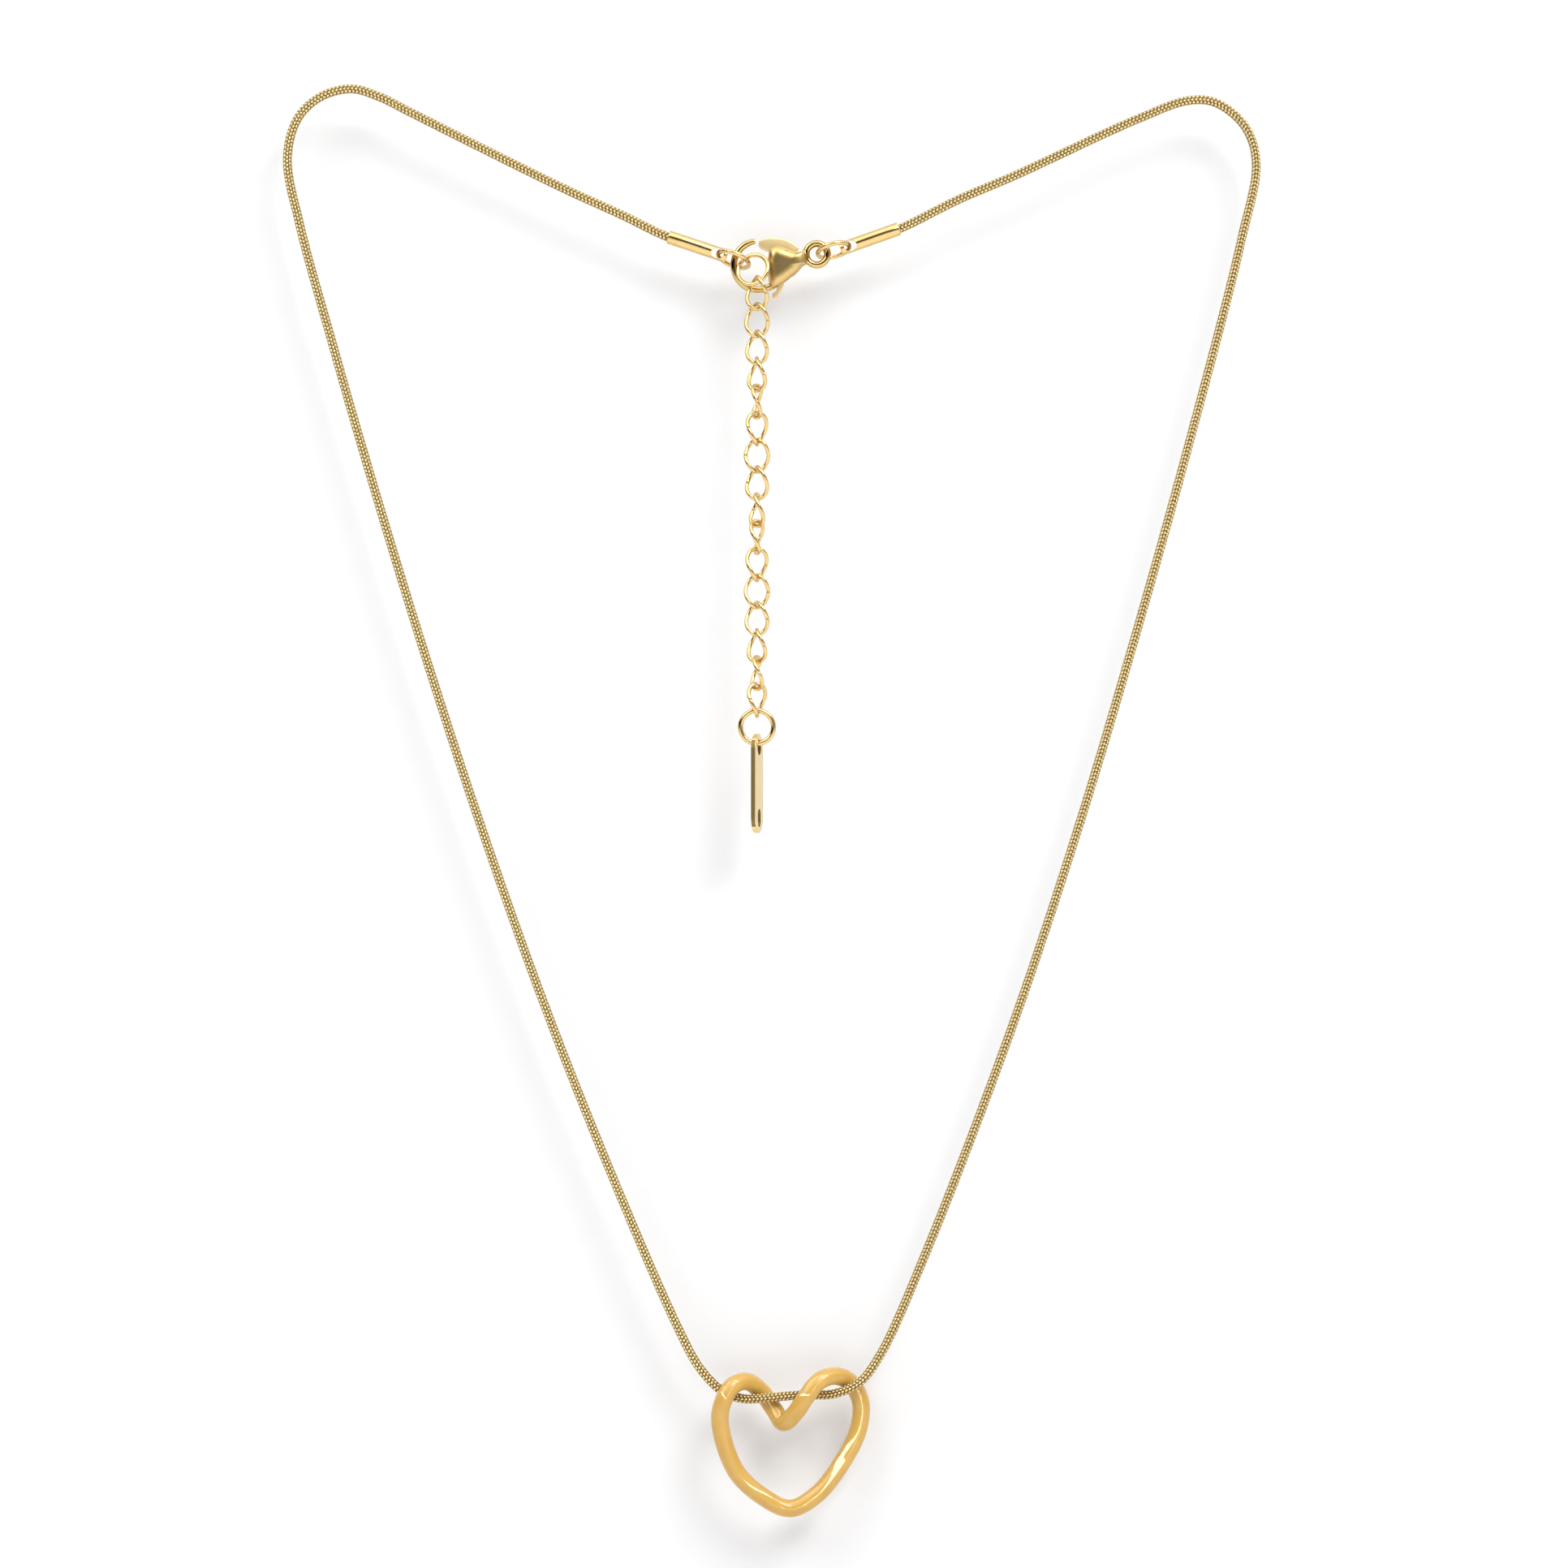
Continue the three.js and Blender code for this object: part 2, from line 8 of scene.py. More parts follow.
# %% Load the engineering model
import json
import bpy
import numpy as np
from mathutils import Matrix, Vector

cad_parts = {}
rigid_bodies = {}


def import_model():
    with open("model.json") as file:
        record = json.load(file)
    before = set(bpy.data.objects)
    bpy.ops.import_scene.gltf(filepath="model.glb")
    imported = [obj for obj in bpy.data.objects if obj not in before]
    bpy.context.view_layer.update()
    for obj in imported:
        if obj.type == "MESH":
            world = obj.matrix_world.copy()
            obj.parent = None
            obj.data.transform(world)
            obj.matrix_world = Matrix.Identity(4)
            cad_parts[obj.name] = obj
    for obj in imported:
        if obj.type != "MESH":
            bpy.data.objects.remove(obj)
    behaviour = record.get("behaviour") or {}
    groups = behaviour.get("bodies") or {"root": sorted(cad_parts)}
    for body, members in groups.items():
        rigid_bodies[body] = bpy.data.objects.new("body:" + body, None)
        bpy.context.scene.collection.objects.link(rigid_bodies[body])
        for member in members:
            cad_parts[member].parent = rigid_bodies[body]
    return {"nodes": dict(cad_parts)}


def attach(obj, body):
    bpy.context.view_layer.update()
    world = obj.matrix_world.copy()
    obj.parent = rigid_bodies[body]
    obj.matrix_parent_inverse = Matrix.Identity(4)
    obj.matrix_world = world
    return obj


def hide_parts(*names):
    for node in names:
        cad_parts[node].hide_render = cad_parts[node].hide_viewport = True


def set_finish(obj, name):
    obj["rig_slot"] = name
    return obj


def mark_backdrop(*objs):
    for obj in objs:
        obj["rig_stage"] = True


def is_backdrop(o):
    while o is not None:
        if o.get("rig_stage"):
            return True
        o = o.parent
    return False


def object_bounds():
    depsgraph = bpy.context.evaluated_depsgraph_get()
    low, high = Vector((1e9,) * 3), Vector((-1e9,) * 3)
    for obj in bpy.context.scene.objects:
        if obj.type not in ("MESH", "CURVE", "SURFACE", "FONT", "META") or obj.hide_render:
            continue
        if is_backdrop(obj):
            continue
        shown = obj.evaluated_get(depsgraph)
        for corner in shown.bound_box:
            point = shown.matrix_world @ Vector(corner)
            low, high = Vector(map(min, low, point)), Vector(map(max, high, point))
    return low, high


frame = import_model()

cad_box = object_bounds()
MM = 0.001
print(len(frame["nodes"]), "pieces in the model, box in mm:", np.round(np.array(cad_box) / MM, 1))

# %% [markdown]
# ## The camera
# The necklace is seen square from the front. A long lens flattens it, so the camera stands well
# back. Its height and its shift to the side set where the necklace sits in the view.

# %% Camera
LENS = 100.0
SENSOR = 36.0
VIEW_SIDE = 164.2 * MM
VIEW_CENTRE = np.array([1.1, 0.0, -72.5]) * MM

camera_data = bpy.data.cameras.new("camera")
camera_data.lens = LENS
camera_data.sensor_width = SENSOR
camera_data.clip_start = 0.005
camera = bpy.data.objects.new("camera", camera_data)
camera.location = VIEW_CENTRE - np.array([0.0, VIEW_SIDE * LENS / SENSOR, 0.0])
camera.rotation_euler = (np.pi / 2, 0.0, 0.0)
bpy.context.scene.collection.objects.link(camera)
bpy.context.scene.camera = camera
print("camera stands", round(VIEW_SIDE * LENS / SENSOR, 3), "m in front")

# %% [markdown]
# ## Lines and frames
# Every wire here is a line with a section carried along it. The line goes through a few known
# points. A Catmull-Rom curve passes through all of them and bends gently in between, so it
# suits a chain that hangs freely. Next to the line we need two directions square to it: they
# carry the section.

# %% A smooth line through points
def smooth_line(points, closed=False, per_span=24):
    """Each span from p1 to p2 is p1 + m1 t + (-3 p1 + 3 p2 - 2 m1 - m2) t^2 + (2 p1 - 2 p2 + m1
    + m2) t^3, and the slopes m come from the neighbours, weighted by the root of the distance."""
    p = np.asarray(points, float)
    before, after = (p[-1:], p[:2]) if closed else (2 * p[:1] - p[1:2], 2 * p[-1:] - p[-2:-1])
    p = np.vstack([before, p, after])
    spans = len(p) - 3
    p0, p1, p2, p3 = (p[k:k + spans, None, :] for k in range(4))
    root = lambda a, b: np.sqrt(np.linalg.norm(b - a, axis=-1, keepdims=True))
    d0, d1, d2 = root(p0, p1), root(p1, p2), root(p2, p3)
    m1 = ((p1 - p0) / d0 - (p2 - p0) / (d0 + d1) + (p2 - p1) / d1) * d1
    m2 = ((p2 - p1) / d1 - (p3 - p1) / (d1 + d2) + (p3 - p2) / d2) * d1
    t = (np.arange(per_span) / per_span)[None, :, None]
    line = p1 + m1 * t + (-3 * p1 + 3 * p2 - 2 * m1 - m2) * t**2
    line = (line + (2 * p1 - 2 * p2 + m1 + m2) * t**3).reshape(-1, p.shape[1])
    return line if closed else np.vstack([line, p[-2]])


def lengths_along(line):
    """The distance from the start to each point: the running sum of the steps."""
    steps = np.linalg.norm(np.diff(line, axis=0), axis=1)
    return np.concatenate([[0.0], np.cumsum(steps)])


def at_lengths(line, values, where):
    """values, one row for each point of line, read off at the distances in where."""
    along = lengths_along(line)
    return np.stack([np.interp(where, along, values[:, k]) for k in range(values.shape[1])], -1)


# %% Directions that carry a section
BACKWARD, UPWARD = (0.0, 1.0, 0.0), (0.0, 0.0, 1.0)


def unit(v):
    return v / np.linalg.norm(v, axis=-1, keepdims=True)


def directions(line, reference, closed=False):
    """The tangent t, the side s = the reference less its share along t, and u = t x s."""
    if closed:
        t = unit(np.roll(line, -1, axis=0) - np.roll(line, 1, axis=0))
    else:
        t = unit(np.gradient(line, axis=0))
    reference = np.broadcast_to(reference, line.shape)
    s = unit(reference - np.sum(reference * t, axis=1, keepdims=True) * t)
    return t, s, np.cross(t, s)


def round_it(side, up, sides):
    """One ring of directions at each point of a line: side cos a + up sin a."""
    a = 2 * np.pi * np.arange(sides) / sides
    return side[:, None] * np.cos(a)[None, :, None] + up[:, None] * np.sin(a)[None, :, None]


def circle(radius, angles):
    """(r cos a, r sin a, 0) for each angle."""
    return radius * np.stack([np.cos(angles), np.sin(angles), np.zeros_like(angles)], -1)


# %% A surface from a grid of points
def surface(name, grid, wrap=False, along=None):
    """grid[i, j] is a point of a tube: i counts along it and j round it. Each face joins four
    neighbours, first round and then along, which makes it face outwards. wrap joins the last
    ring to the first. Otherwise a fan round each middle point closes the two ends."""
    rings, sides = grid.shape[:2]
    i, j = np.meshgrid(np.arange(rings if wrap else rings - 1), np.arange(sides), indexing="ij")
    i, j = i.ravel(), j.ravel()
    up, right = (i + 1) % rings, (j + 1) % sides
    faces = np.stack([i * sides + j, i * sides + right, up * sides + right, up * sides + j], 1)
    points = grid.reshape(-1, 3)
    polygons = faces.tolist()
    if not wrap:
        first, last = len(points), len(points) + 1
        points = np.vstack([points, grid[0].mean(axis=0), grid[-1].mean(axis=0)])
        k = np.arange(sides)
        start = np.stack([np.full(sides, first), (k + 1) % sides, k], 1)
        end = np.stack([np.full(sides, last), k, (k + 1) % sides], 1)
        end[:, 1:] += (rings - 1) * sides
        polygons += start.tolist() + end.tolist()
    mesh = bpy.data.meshes.new(name)
    mesh.from_pydata(points, [], polygons)
    mesh.shade_smooth()
    if along is not None:
        uv = np.zeros((len(mesh.loops), 2), np.float32)
        corners_i = np.stack([i, i, i + 1, i + 1], 1)
        corners_j = np.stack([j, j + 1, j + 1, j], 1)
        uv[:faces.size, 0] = along[corners_i].ravel()
        uv[:faces.size, 1] = corners_j.ravel() / sides
        mesh.uv_layers.new(name="along").data.foreach_set("uv", uv.ravel())
    return mesh


# %% A piece of the necklace
def piece(name, mesh, body, *nodes, slot):
    """An object at the origin that rides on a body and stands for engineering pieces."""
    made = bpy.data.objects.new(name, mesh)
    bpy.context.scene.collection.objects.link(made)
    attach(made, body)
    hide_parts(*nodes)
    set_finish(made, slot)
    print(f"{name}: {len(mesh.polygons)} faces on {body}")
    return made


# %% [markdown]
# ## Where the findings are
# The two jump rings, the clasp and the extender hang from each other. Their places follow from
# one point, the middle of the clasp's hook, and a few angles. All lengths in this part of the
# lesson are millimetres, and a piece is brought to metres when it is placed.

# %% Turning and standing
def turn_about(axis, degrees):
    """The matrix that turns a point about x, y or z by an angle."""
    c, s = np.cos(np.radians(degrees)), np.sin(np.radians(degrees))
    a, b = [(1, 2), (2, 0), (0, 1)]["xyz".index(axis)]
    m = np.eye(3)
    m[a, a], m[b, b], m[a, b], m[b, a] = c, c, -s, s
    return m


def upright(points, place, degrees=0.0):
    """A drawing with x to the right, y up and z to the front, stood in its place: it is turned
    in its own plane and then tipped up by a quarter turn."""
    return points @ (turn_about("x", 90) @ turn_about("z", degrees)).T + place


def reach(start, degrees, distance):
    """start + distance times (cos a, 0, sin a)."""
    a = np.radians(degrees)
    return start + distance * np.array([np.cos(a), 0.0, np.sin(a)])


# %% Rings and caps
HOOK_CENTRE = np.array([-1.615, 0.0, -18.207])
CLASP_TILT = 10.8
HOOK_RADIUS, HOOK_WIRE = 2.54, 0.74
LOOP_OFFSET, LOOP_RADIUS, LOOP_WIRE = 6.265, 1.12, 0.76
JUMP_RADIUS, JUMP_WIRE = 1.7, 0.5
EXTENDER_RADIUS, EXTENDER_WIRE = 1.68, 0.44
TAG_RADIUS, TAG_WIRE = 1.72, 0.56
LEFT_TILT, RIGHT_TILT = 20.2, 14.0
HOOK_RING_BEARING, RING_PLAY, WIRE_IN_EYELET = 165.8, 0.525, 0.08
RING_OPENING = 17.0
CONTACT = 0.1
SEAM = 0.06

hook_inside_ring = JUMP_RADIUS - JUMP_WIRE / 2 - HOOK_WIRE / 2 - EXTENDER_WIRE - RING_PLAY
left_ring_at = reach(HOOK_CENTRE, HOOK_RING_BEARING, HOOK_RADIUS + hook_inside_ring)
left_eyelet = reach(left_ring_at, 180 - LEFT_TILT, JUMP_RADIUS + WIRE_IN_EYELET)
loop_at = reach(HOOK_CENTRE, CLASP_TILT, LOOP_OFFSET)
right_ring_at = reach(loop_at, RIGHT_TILT, JUMP_RADIUS + CONTACT)
right_eyelet = reach(right_ring_at, RIGHT_TILT, JUMP_RADIUS + WIRE_IN_EYELET)
print("eyelets at x", round(left_eyelet[0], 2), "and", round(right_eyelet[0], 2), "mm")

# %% [markdown]
# ## The snake chain
# A real snake chain is a stack of small wavy bands, each pressed into the next. From the side
# it reads as rows of little bricks. Modelling a thousand bands one by one would be heavy, so
# the whole chain is one surface: its radius dips at every joint between two bands, and the
# joint itself rises and falls four times on its way round.

# %% The chain's route
CAP_LENGTH, CHAIN_IN_CAP, EYELET_FROM_END = 6.46, 1.4, 1.05
CHAIN_WIDTH = 1.0
LEFT_CAP_TILT, RIGHT_CAP_TILT = 18.5, 19.5
CHAIN_POINTS = [
    (-15.77, -12.97, 0), (-21.8, -10.22, 0), (-31.06, -5.66, 0), (-37.99, -2.18, 0),
    (-41.43, -0.48, 0), (-44.2, 0.28, 0), (-47.35, -0.51, 0), (-49.81, -2.8, 0), (-50.9, -7.0, 0),
    (-49.59, -14.0, 0), (-46.25, -26.17, 0), (-42.78, -38.27, 0), (-37.1, -57.04, 0),
    (-30.83, -76.35, 0), (-24.02, -95.55, 0), (-16.67, -114.09, 0), (-9.85, -129.77, 0),
    (-7.7, -133.7, 0.05), (-5.3, -136.15, 0.25), (-3.3, -136.85, 0.0), (-0.85, -136.77, -0.25),
    (1.2, -136.6, 0.0), (3.3, -136.5, 0.25), (6.2, -136.4, 0.1), (8.9, -135.2, -0.25),
    (11.13, -132.32, -0.1), (15.76, -122.04, 0), (24.8, -98.44, 0), (31.73, -77.66, 0),
    (37.77, -57.43, 0), (43.56, -36.66, 0), (48.98, -15.6, 0), (50.54, -7.4, 0),
    (49.38, -3.68, 0), (46.37, -1.2, 0), (43.53, -0.93, 0), (38.18, -2.85, 0), (25.21, -8.82, 0),
    (19.46, -11.27, 0),
]


def chain_mouth(eyelet, degrees):
    """The chain's end inside its cap, and a point just outside it."""
    mouth = CAP_LENGTH - EYELET_FROM_END
    return [reach(eyelet, degrees, mouth + d) for d in (-CHAIN_IN_CAP, CHAIN_WIDTH / 2)]


route = chain_mouth(left_eyelet, 180 - LEFT_CAP_TILT)
route += [(x, back, z) for x, z, back in CHAIN_POINTS]
route += chain_mouth(right_eyelet, RIGHT_CAP_TILT)[::-1]
chain_line = smooth_line(route, per_span=40)
chain_length = lengths_along(chain_line)[-1]
print("snake chain:", round(chain_length, 1), "mm long")

# %% The banded surface
BAND, PER_BAND = 0.41, 4
ROUND_CHAIN = 24
WAVES, WAVE = 4, 0.25
DIP, ROW_DIP = 0.06, 0.09
FADE_BANDS, CROWN_POWER = 3, 0.6

bands = int(chain_length / BAND)
phase = np.arange(bands * PER_BAND + 1) / PER_BAND
angle = 2 * np.pi * np.arange(ROUND_CHAIN) / ROUND_CHAIN
fade = np.clip(np.minimum(phase, bands - phase) / FADE_BANDS, 0, 1)[:, None]
where = (phase[:, None] + WAVE * fade * np.cos(WAVES * angle)[None, :]) * chain_length / bands
crown = np.abs(np.sin(np.pi * phase)) ** CROWN_POWER
rows = 1 - np.abs(np.cos(WAVES * angle))
bulge = CHAIN_WIDTH / 2 - DIP * (1 - crown)[:, None, None] - ROW_DIP * rows[None, :, None]
_, chain_side, chain_up = directions(chain_line, BACKWARD)
chain_grid = at_lengths(chain_line, chain_line, where)
chain_grid += bulge * np.cos(angle)[None, :, None] * at_lengths(chain_line, chain_side, where)
chain_grid += bulge * np.sin(angle)[None, :, None] * at_lengths(chain_line, chain_up, where)
chain = piece(
    "snake_chain_bands",
    surface("snake_chain_bands", chain_grid * MM, along=phase),
    "chain", "snake_chain", slot="chain_gold",
)
chain_line[0] * MM
chain_line * MM
print(bands, "bands of", BAND, "mm")

# %% [markdown]
# ## Bent wire
# Jump rings and links are cut from round wire and bent until the ends meet. So each is a line,
# almost closed, with a round section, and the cut stays as a hairline. The ends are a touch
# smaller than the wire, because the cutter rounds them.

# %% Wire along a line
WIRE_END = 0.82
END_STEP = 0.02


def wire(name, line, diameter, reference, sides=18):
    """point = line + r (side cos a + up sin a), with r smaller on the first and last ring."""
    _, side, up = directions(line, reference)
    r = np.full(len(line), diameter / 2)
    r[[0, -1]] *= WIRE_END
    grid = line[:, None] + r[:, None, None] * round_it(side, up, sides)
    return surface(name, grid * MM, along=lengths_along(line))


def cut_open(half, steps):
    """Angles from the cut round to the cut again, with two close points at each end."""
    a = np.linspace(half, 2 * np.pi - half, steps)
    return np.concatenate([a[:1], a[:1] + END_STEP, a[1:-1], a[-1:] - END_STEP, a[-1:]])


def ring_line(radius, seam_at, steps=96):
    """A circle that is cut open at an angle."""
    return circle(radius, np.radians(seam_at) + cut_open(SEAM / radius / 2, steps))


# %% The two jump rings
lean = turn_about("x", 90 - RING_OPENING)
for side, place, degrees, seam_at in (
    ("left", left_ring_at, -LEFT_TILT, 120),
    ("right", right_ring_at, RIGHT_TILT, -75),
):
    line = upright(ring_line(JUMP_RADIUS, seam_at) @ lean.T, place, degrees)
    mesh = wire(side + "_jump_ring_wire", line, JUMP_WIRE, line - place)
    piece(mesh.name, mesh, side + "_ring", side + "_jump_ring", slot="ring_gold")

# %% The extender's ring
drop = np.array([0.2625, -0.706, -0.377])
EXTENDER_LEAN, EXTENDER_OPENING = -21.2, 17.9
extender_at = reach(left_ring_at, -LEFT_TILT, JUMP_RADIUS) + drop * EXTENDER_RADIUS
extender_turn = turn_about("z", EXTENDER_LEAN) @ turn_about("x", 90 - EXTENDER_OPENING)
line = ring_line(EXTENDER_RADIUS, 160) @ extender_turn.T + extender_at
mesh = wire("extender_ring_wire", line, EXTENDER_WIRE, line - extender_at)
piece(mesh.name, mesh, "extender_ring", "extender_ring", slot="ring_gold")

# %% [markdown]
# ## The twisted links
# Each link is an oval of wire, twisted so that its top and bottom lie almost across each other.
# That is why the next link can hang straight. The oval's width is carried round the vertical by
# an angle that grows with the height.

# %% Sixteen links
LINK_LENGTH, LINK_WIDTH, LINK_WIRE, LINK_TWIST = 3.79, 2.8, 0.43, 80.0
LINK_TURNS = [
    -36, -20, -34, -54, -92, -138, -178, -212, -250, -285, -322, -360, -385, -412, -440, -486,
]
HANG_X = -1.72
across, above = extender_turn[:, 0], extender_turn[:, 1]
reach_x = (HANG_X - extender_at[0]) / EXTENDER_RADIUS
low = np.arctan2(above[0], across[0]) - np.arccos(reach_x / np.hypot(across[0], above[0]))
hang = extender_at + EXTENDER_RADIUS * (across * np.cos(low) + above * np.sin(low))
link_reach = LINK_LENGTH - LINK_WIRE
link_pitch = link_reach - LINK_WIRE - CONTACT
first_top = hang[2] + (EXTENDER_WIRE + LINK_WIRE) / 2 + 2 * CONTACT


def link_line(degrees, steps=88):
    """x, y = w cos a along the direction (degrees - twist/2 sin a), and z = h sin a."""
    a = cut_open(SEAM / link_reach, steps)
    direction = np.radians(degrees - LINK_TWIST / 2 * np.sin(a))
    width = (LINK_WIDTH - LINK_WIRE) / 2 * np.cos(a)
    height = link_reach / 2 * np.sin(a)
    return np.stack([width * np.cos(direction), width * np.sin(direction), height], -1)


for number, degrees in enumerate(LINK_TURNS):
    middle = np.array([hang[0], hang[1], first_top - link_reach / 2 - number * link_pitch])
    line = link_line(degrees)
    label = f"{number + 1:02d}"
    mesh = wire("twisted_link_" + label, line + middle, LINK_WIRE, line, sides=16)
    piece(mesh.name, mesh, "link_" + label, "extender_link_" + label, slot="ring_gold")

# %% The tag's ring
last_bottom = first_top - link_reach - (len(LINK_TURNS) - 1) * link_pitch
tag_ring_top = last_bottom + (LINK_WIRE + TAG_WIRE) / 2 + CONTACT
tag_ring_at = np.array([hang[0], hang[1], tag_ring_top - TAG_RADIUS])
line = upright(ring_line(TAG_RADIUS, 238), tag_ring_at)
mesh = wire("tag_ring_wire", line, TAG_WIRE, line - tag_ring_at)
piece(mesh.name, mesh, "tag_ring", "tag_ring", slot="ring_gold")

# %% [markdown]
# ## The heart
# The pendant is one round tube bent into a heart, and it winds round the chain as it goes:
# in front, behind, in front and behind again. Its middle line is closed, so the tube has no
# ends. A soft swelling of the radius would look wrong here: the tube is the same all round.

# %% The heart's tube
HEART_TUBE, HEART_SIDES = 1.86, 48
HEART_POINTS = [
    (-5.6, -139.0, -1.15), (-5.1, -136.6, -1.4), (-4.2, -135.35, -0.9), (-2.7, -135.15, 0.35),
    (-1.2, -136.4, 1.3), (0.1, -138.2, 1.0), (1.05, -139.35, 0.0), (2.2, -138.3, -1.0),
    (3.4, -136.5, -1.3), (4.8, -134.9, -0.8), (6.5, -134.55, 0.35), (8.1, -135.4, 1.4),
    (9.15, -137.4, 1.5), (8.9, -140.3, 1.3), (7.3, -143.5, 0.85), (4.6, -146.9, 0.35),
    (1.75, -148.35, -0.1), (-1.2, -147.0, -0.45), (-4.0, -144.2, -0.8),
]
heart_line = smooth_line([(x, back, z) for x, z, back in HEART_POINTS], closed=True, per_span=20)
_, side, up = directions(heart_line, BACKWARD, closed=True)
heart_grid = heart_line[:, None] + HEART_TUBE / 2 * round_it(side, up, HEART_SIDES)
heart_along = lengths_along(np.vstack([heart_line, heart_line[:1]]))
mesh = surface("heart_tube", heart_grid * MM, wrap=True, along=heart_along)
heart = piece("heart_tube", mesh, "pendant", "heart_pendant", slot="heart_gold")

# %% [markdown]
# ## Carved pieces
# Caps, the clasp and the tag have holes and slots. The outside is a simple surface, and a
# boolean takes the hole out of it, as a drill or a saw would. The work is done in millimetres
# on a helper object, and only the finished mesh is kept.

# %% Boolean work on a helper object
def carved(name, mesh, *steps, voxel=0.0, smooth=0):
    """steps are pairs of DIFFERENCE or UNION and a mesh. voxel rebuilds the skin on a fine
    lattice, and smooth evens it, which rounds every inner corner as casting and polishing do."""
    body = bpy.data.objects.new(name, mesh)
    helpers = [body]
    bpy.context.scene.collection.objects.link(body)
    for operation, tool in steps:
        other = bpy.data.objects.new("tool", tool)
        bpy.context.scene.collection.objects.link(other)
        helpers.append(other)
        cut = body.modifiers.new("cut", "BOOLEAN")
        cut.operation, cut.object, cut.solver = operation, other, "EXACT"
    if voxel:
        rebuild = body.modifiers.new("rebuild", "REMESH")
        rebuild.mode, rebuild.voxel_size = "VOXEL", voxel
    if smooth:
        even = body.modifiers.new("even", "SMOOTH")
        even.factor, even.iterations = 0.5, smooth
    bpy.context.view_layer.update()
    solved = body.evaluated_get(bpy.context.evaluated_depsgraph_get())
    done = bpy.data.meshes.new_from_object(solved)
    for helper in helpers:
        bpy.data.objects.remove(helper)
    done.name = name
    return done


def placed(mesh, change, soft_angle=35.0):
    """Every point goes through change, which brings it to its place, and then to metres."""
    points = np.zeros(len(mesh.vertices) * 3, np.float32)
    mesh.vertices.foreach_get("co", points)
    points = change(points.reshape(-1, 3).astype(float)) * MM
    mesh.vertices.foreach_set("co", points.astype(np.float32).ravel())
    mesh.shade_smooth()
    mesh.set_sharp_from_angle(angle=np.radians(soft_angle))
    mesh.update()
    return mesh


# %% Simple solids to carve with
AXIS = 0.001
THROUGH = 4.0


def turned(name, profile, sides=48):
    """profile is (radius, height) rows, and a point is (r cos a, height, -r sin a)."""
    r, y = np.array(profile, float).T
    a = 2 * np.pi * np.arange(sides) / sides
    grid = np.stack([np.outer(r, np.cos(a)), np.repeat(y[:, None], sides, 1),
                     -np.outer(r, np.sin(a))], -1)
    return surface(name, grid)


def plate(name, outline, thickness, rim=0.0, steps=4):
    """The outline, drawn anticlockwise, runs through the thickness. Near both faces it draws in
    by rim (1 - cos b) while the height grows by rim sin b, a quarter circle."""
    tangent = unit(np.roll(outline, -1, axis=0) - np.roll(outline, 1, axis=0))
    inward = np.stack([-tangent[:, 1], tangent[:, 0]], -1)
    b = np.linspace(0, np.pi / 2, steps + 1) if rim else np.array([0.0])
    inset = np.concatenate([rim * (1 - np.cos(b[::-1])), rim * (1 - np.cos(b))])
    height = thickness / 2 - rim + rim * np.sin(b)
    height = np.concatenate([-height[::-1], height])
    flat = outline[None] + inset[:, None, None] * inward[None]
    z = np.broadcast_to(height[:, None, None], flat.shape[:2] + (1,))
    grid = np.concatenate([flat, z], -1)
    rings, sides = grid.shape[:2]
    i, j = np.meshgrid(np.arange(rings - 1), np.arange(sides), indexing="ij")
    i, j, right = i.ravel(), j.ravel(), (j.ravel() + 1) % sides
    walls = np.stack([i * sides + j, i * sides + right, (i + 1) * sides + right,
                      (i + 1) * sides + j], 1)
    back = np.arange(sides)[::-1].tolist()
    front = (np.arange(sides) + (rings - 1) * sides).tolist()
    mesh = bpy.data.meshes.new(name)
    mesh.from_pydata(grid.reshape(-1, 3), [], walls.tolist() + [back, front])
    return mesh


def stadium(width, length, middle=0.0, steps=24):
    """Two half circles of the width, joined by straight sides, with the long way along y."""
    a = np.linspace(0, np.pi, steps)
    half, far = width / 2, (length - width) / 2
    top = np.stack([half * np.cos(a), middle + far + half * np.sin(a)], -1)
    bottom = np.stack([-half * np.cos(a), middle - far - half * np.sin(a)], -1)
    return np.vstack([top, bottom])


# %% [markdown]
# ## The end caps
# Each end of the chain is glued into a plain tube. The far end of the tube is pierced with an
# oblong eyelet for the jump ring. The mouth has a thin lip round the chain.

# %% Two end caps
CAP_RADIUS, CAP_BORE, CAP_BORE_DEPTH = 0.71, 0.56, 1.6
EYELET_WIDTH, EYELET_LENGTH = 1.1, 1.36
cap_profile = [
    (AXIS, 0.0), (CAP_RADIUS - 0.1, 0.0), (CAP_RADIUS - 0.03, 0.03), (CAP_RADIUS, 0.1),
    (CAP_RADIUS, 1.6), (CAP_RADIUS, 3.2), (CAP_RADIUS, 4.8),
    (CAP_RADIUS, CAP_LENGTH - 0.06), (CAP_RADIUS - 0.02, CAP_LENGTH - 0.015),
    (CAP_RADIUS - 0.06, CAP_LENGTH), (CAP_BORE, CAP_LENGTH),
    (CAP_BORE, CAP_LENGTH - CAP_BORE_DEPTH), (AXIS, CAP_LENGTH - CAP_BORE_DEPTH),
]
for side, eyelet, degrees in (
    ("left", left_eyelet, 90 - LEFT_CAP_TILT),
    ("right", right_eyelet, RIGHT_CAP_TILT - 90),
):
    drill = plate("drill", stadium(EYELET_WIDTH, EYELET_LENGTH, EYELET_FROM_END), THROUGH)
    tube = carved(side + "_cap_tube", turned("tube", cap_profile), ("DIFFERENCE", drill))
    lift = np.array([0.0, -EYELET_FROM_END, 0.0])
    placed(tube, lambda p: upright(p + lift, eyelet, degrees))
    piece(tube.name, tube, "chain", side + "_end_cap", slot="ring_gold")

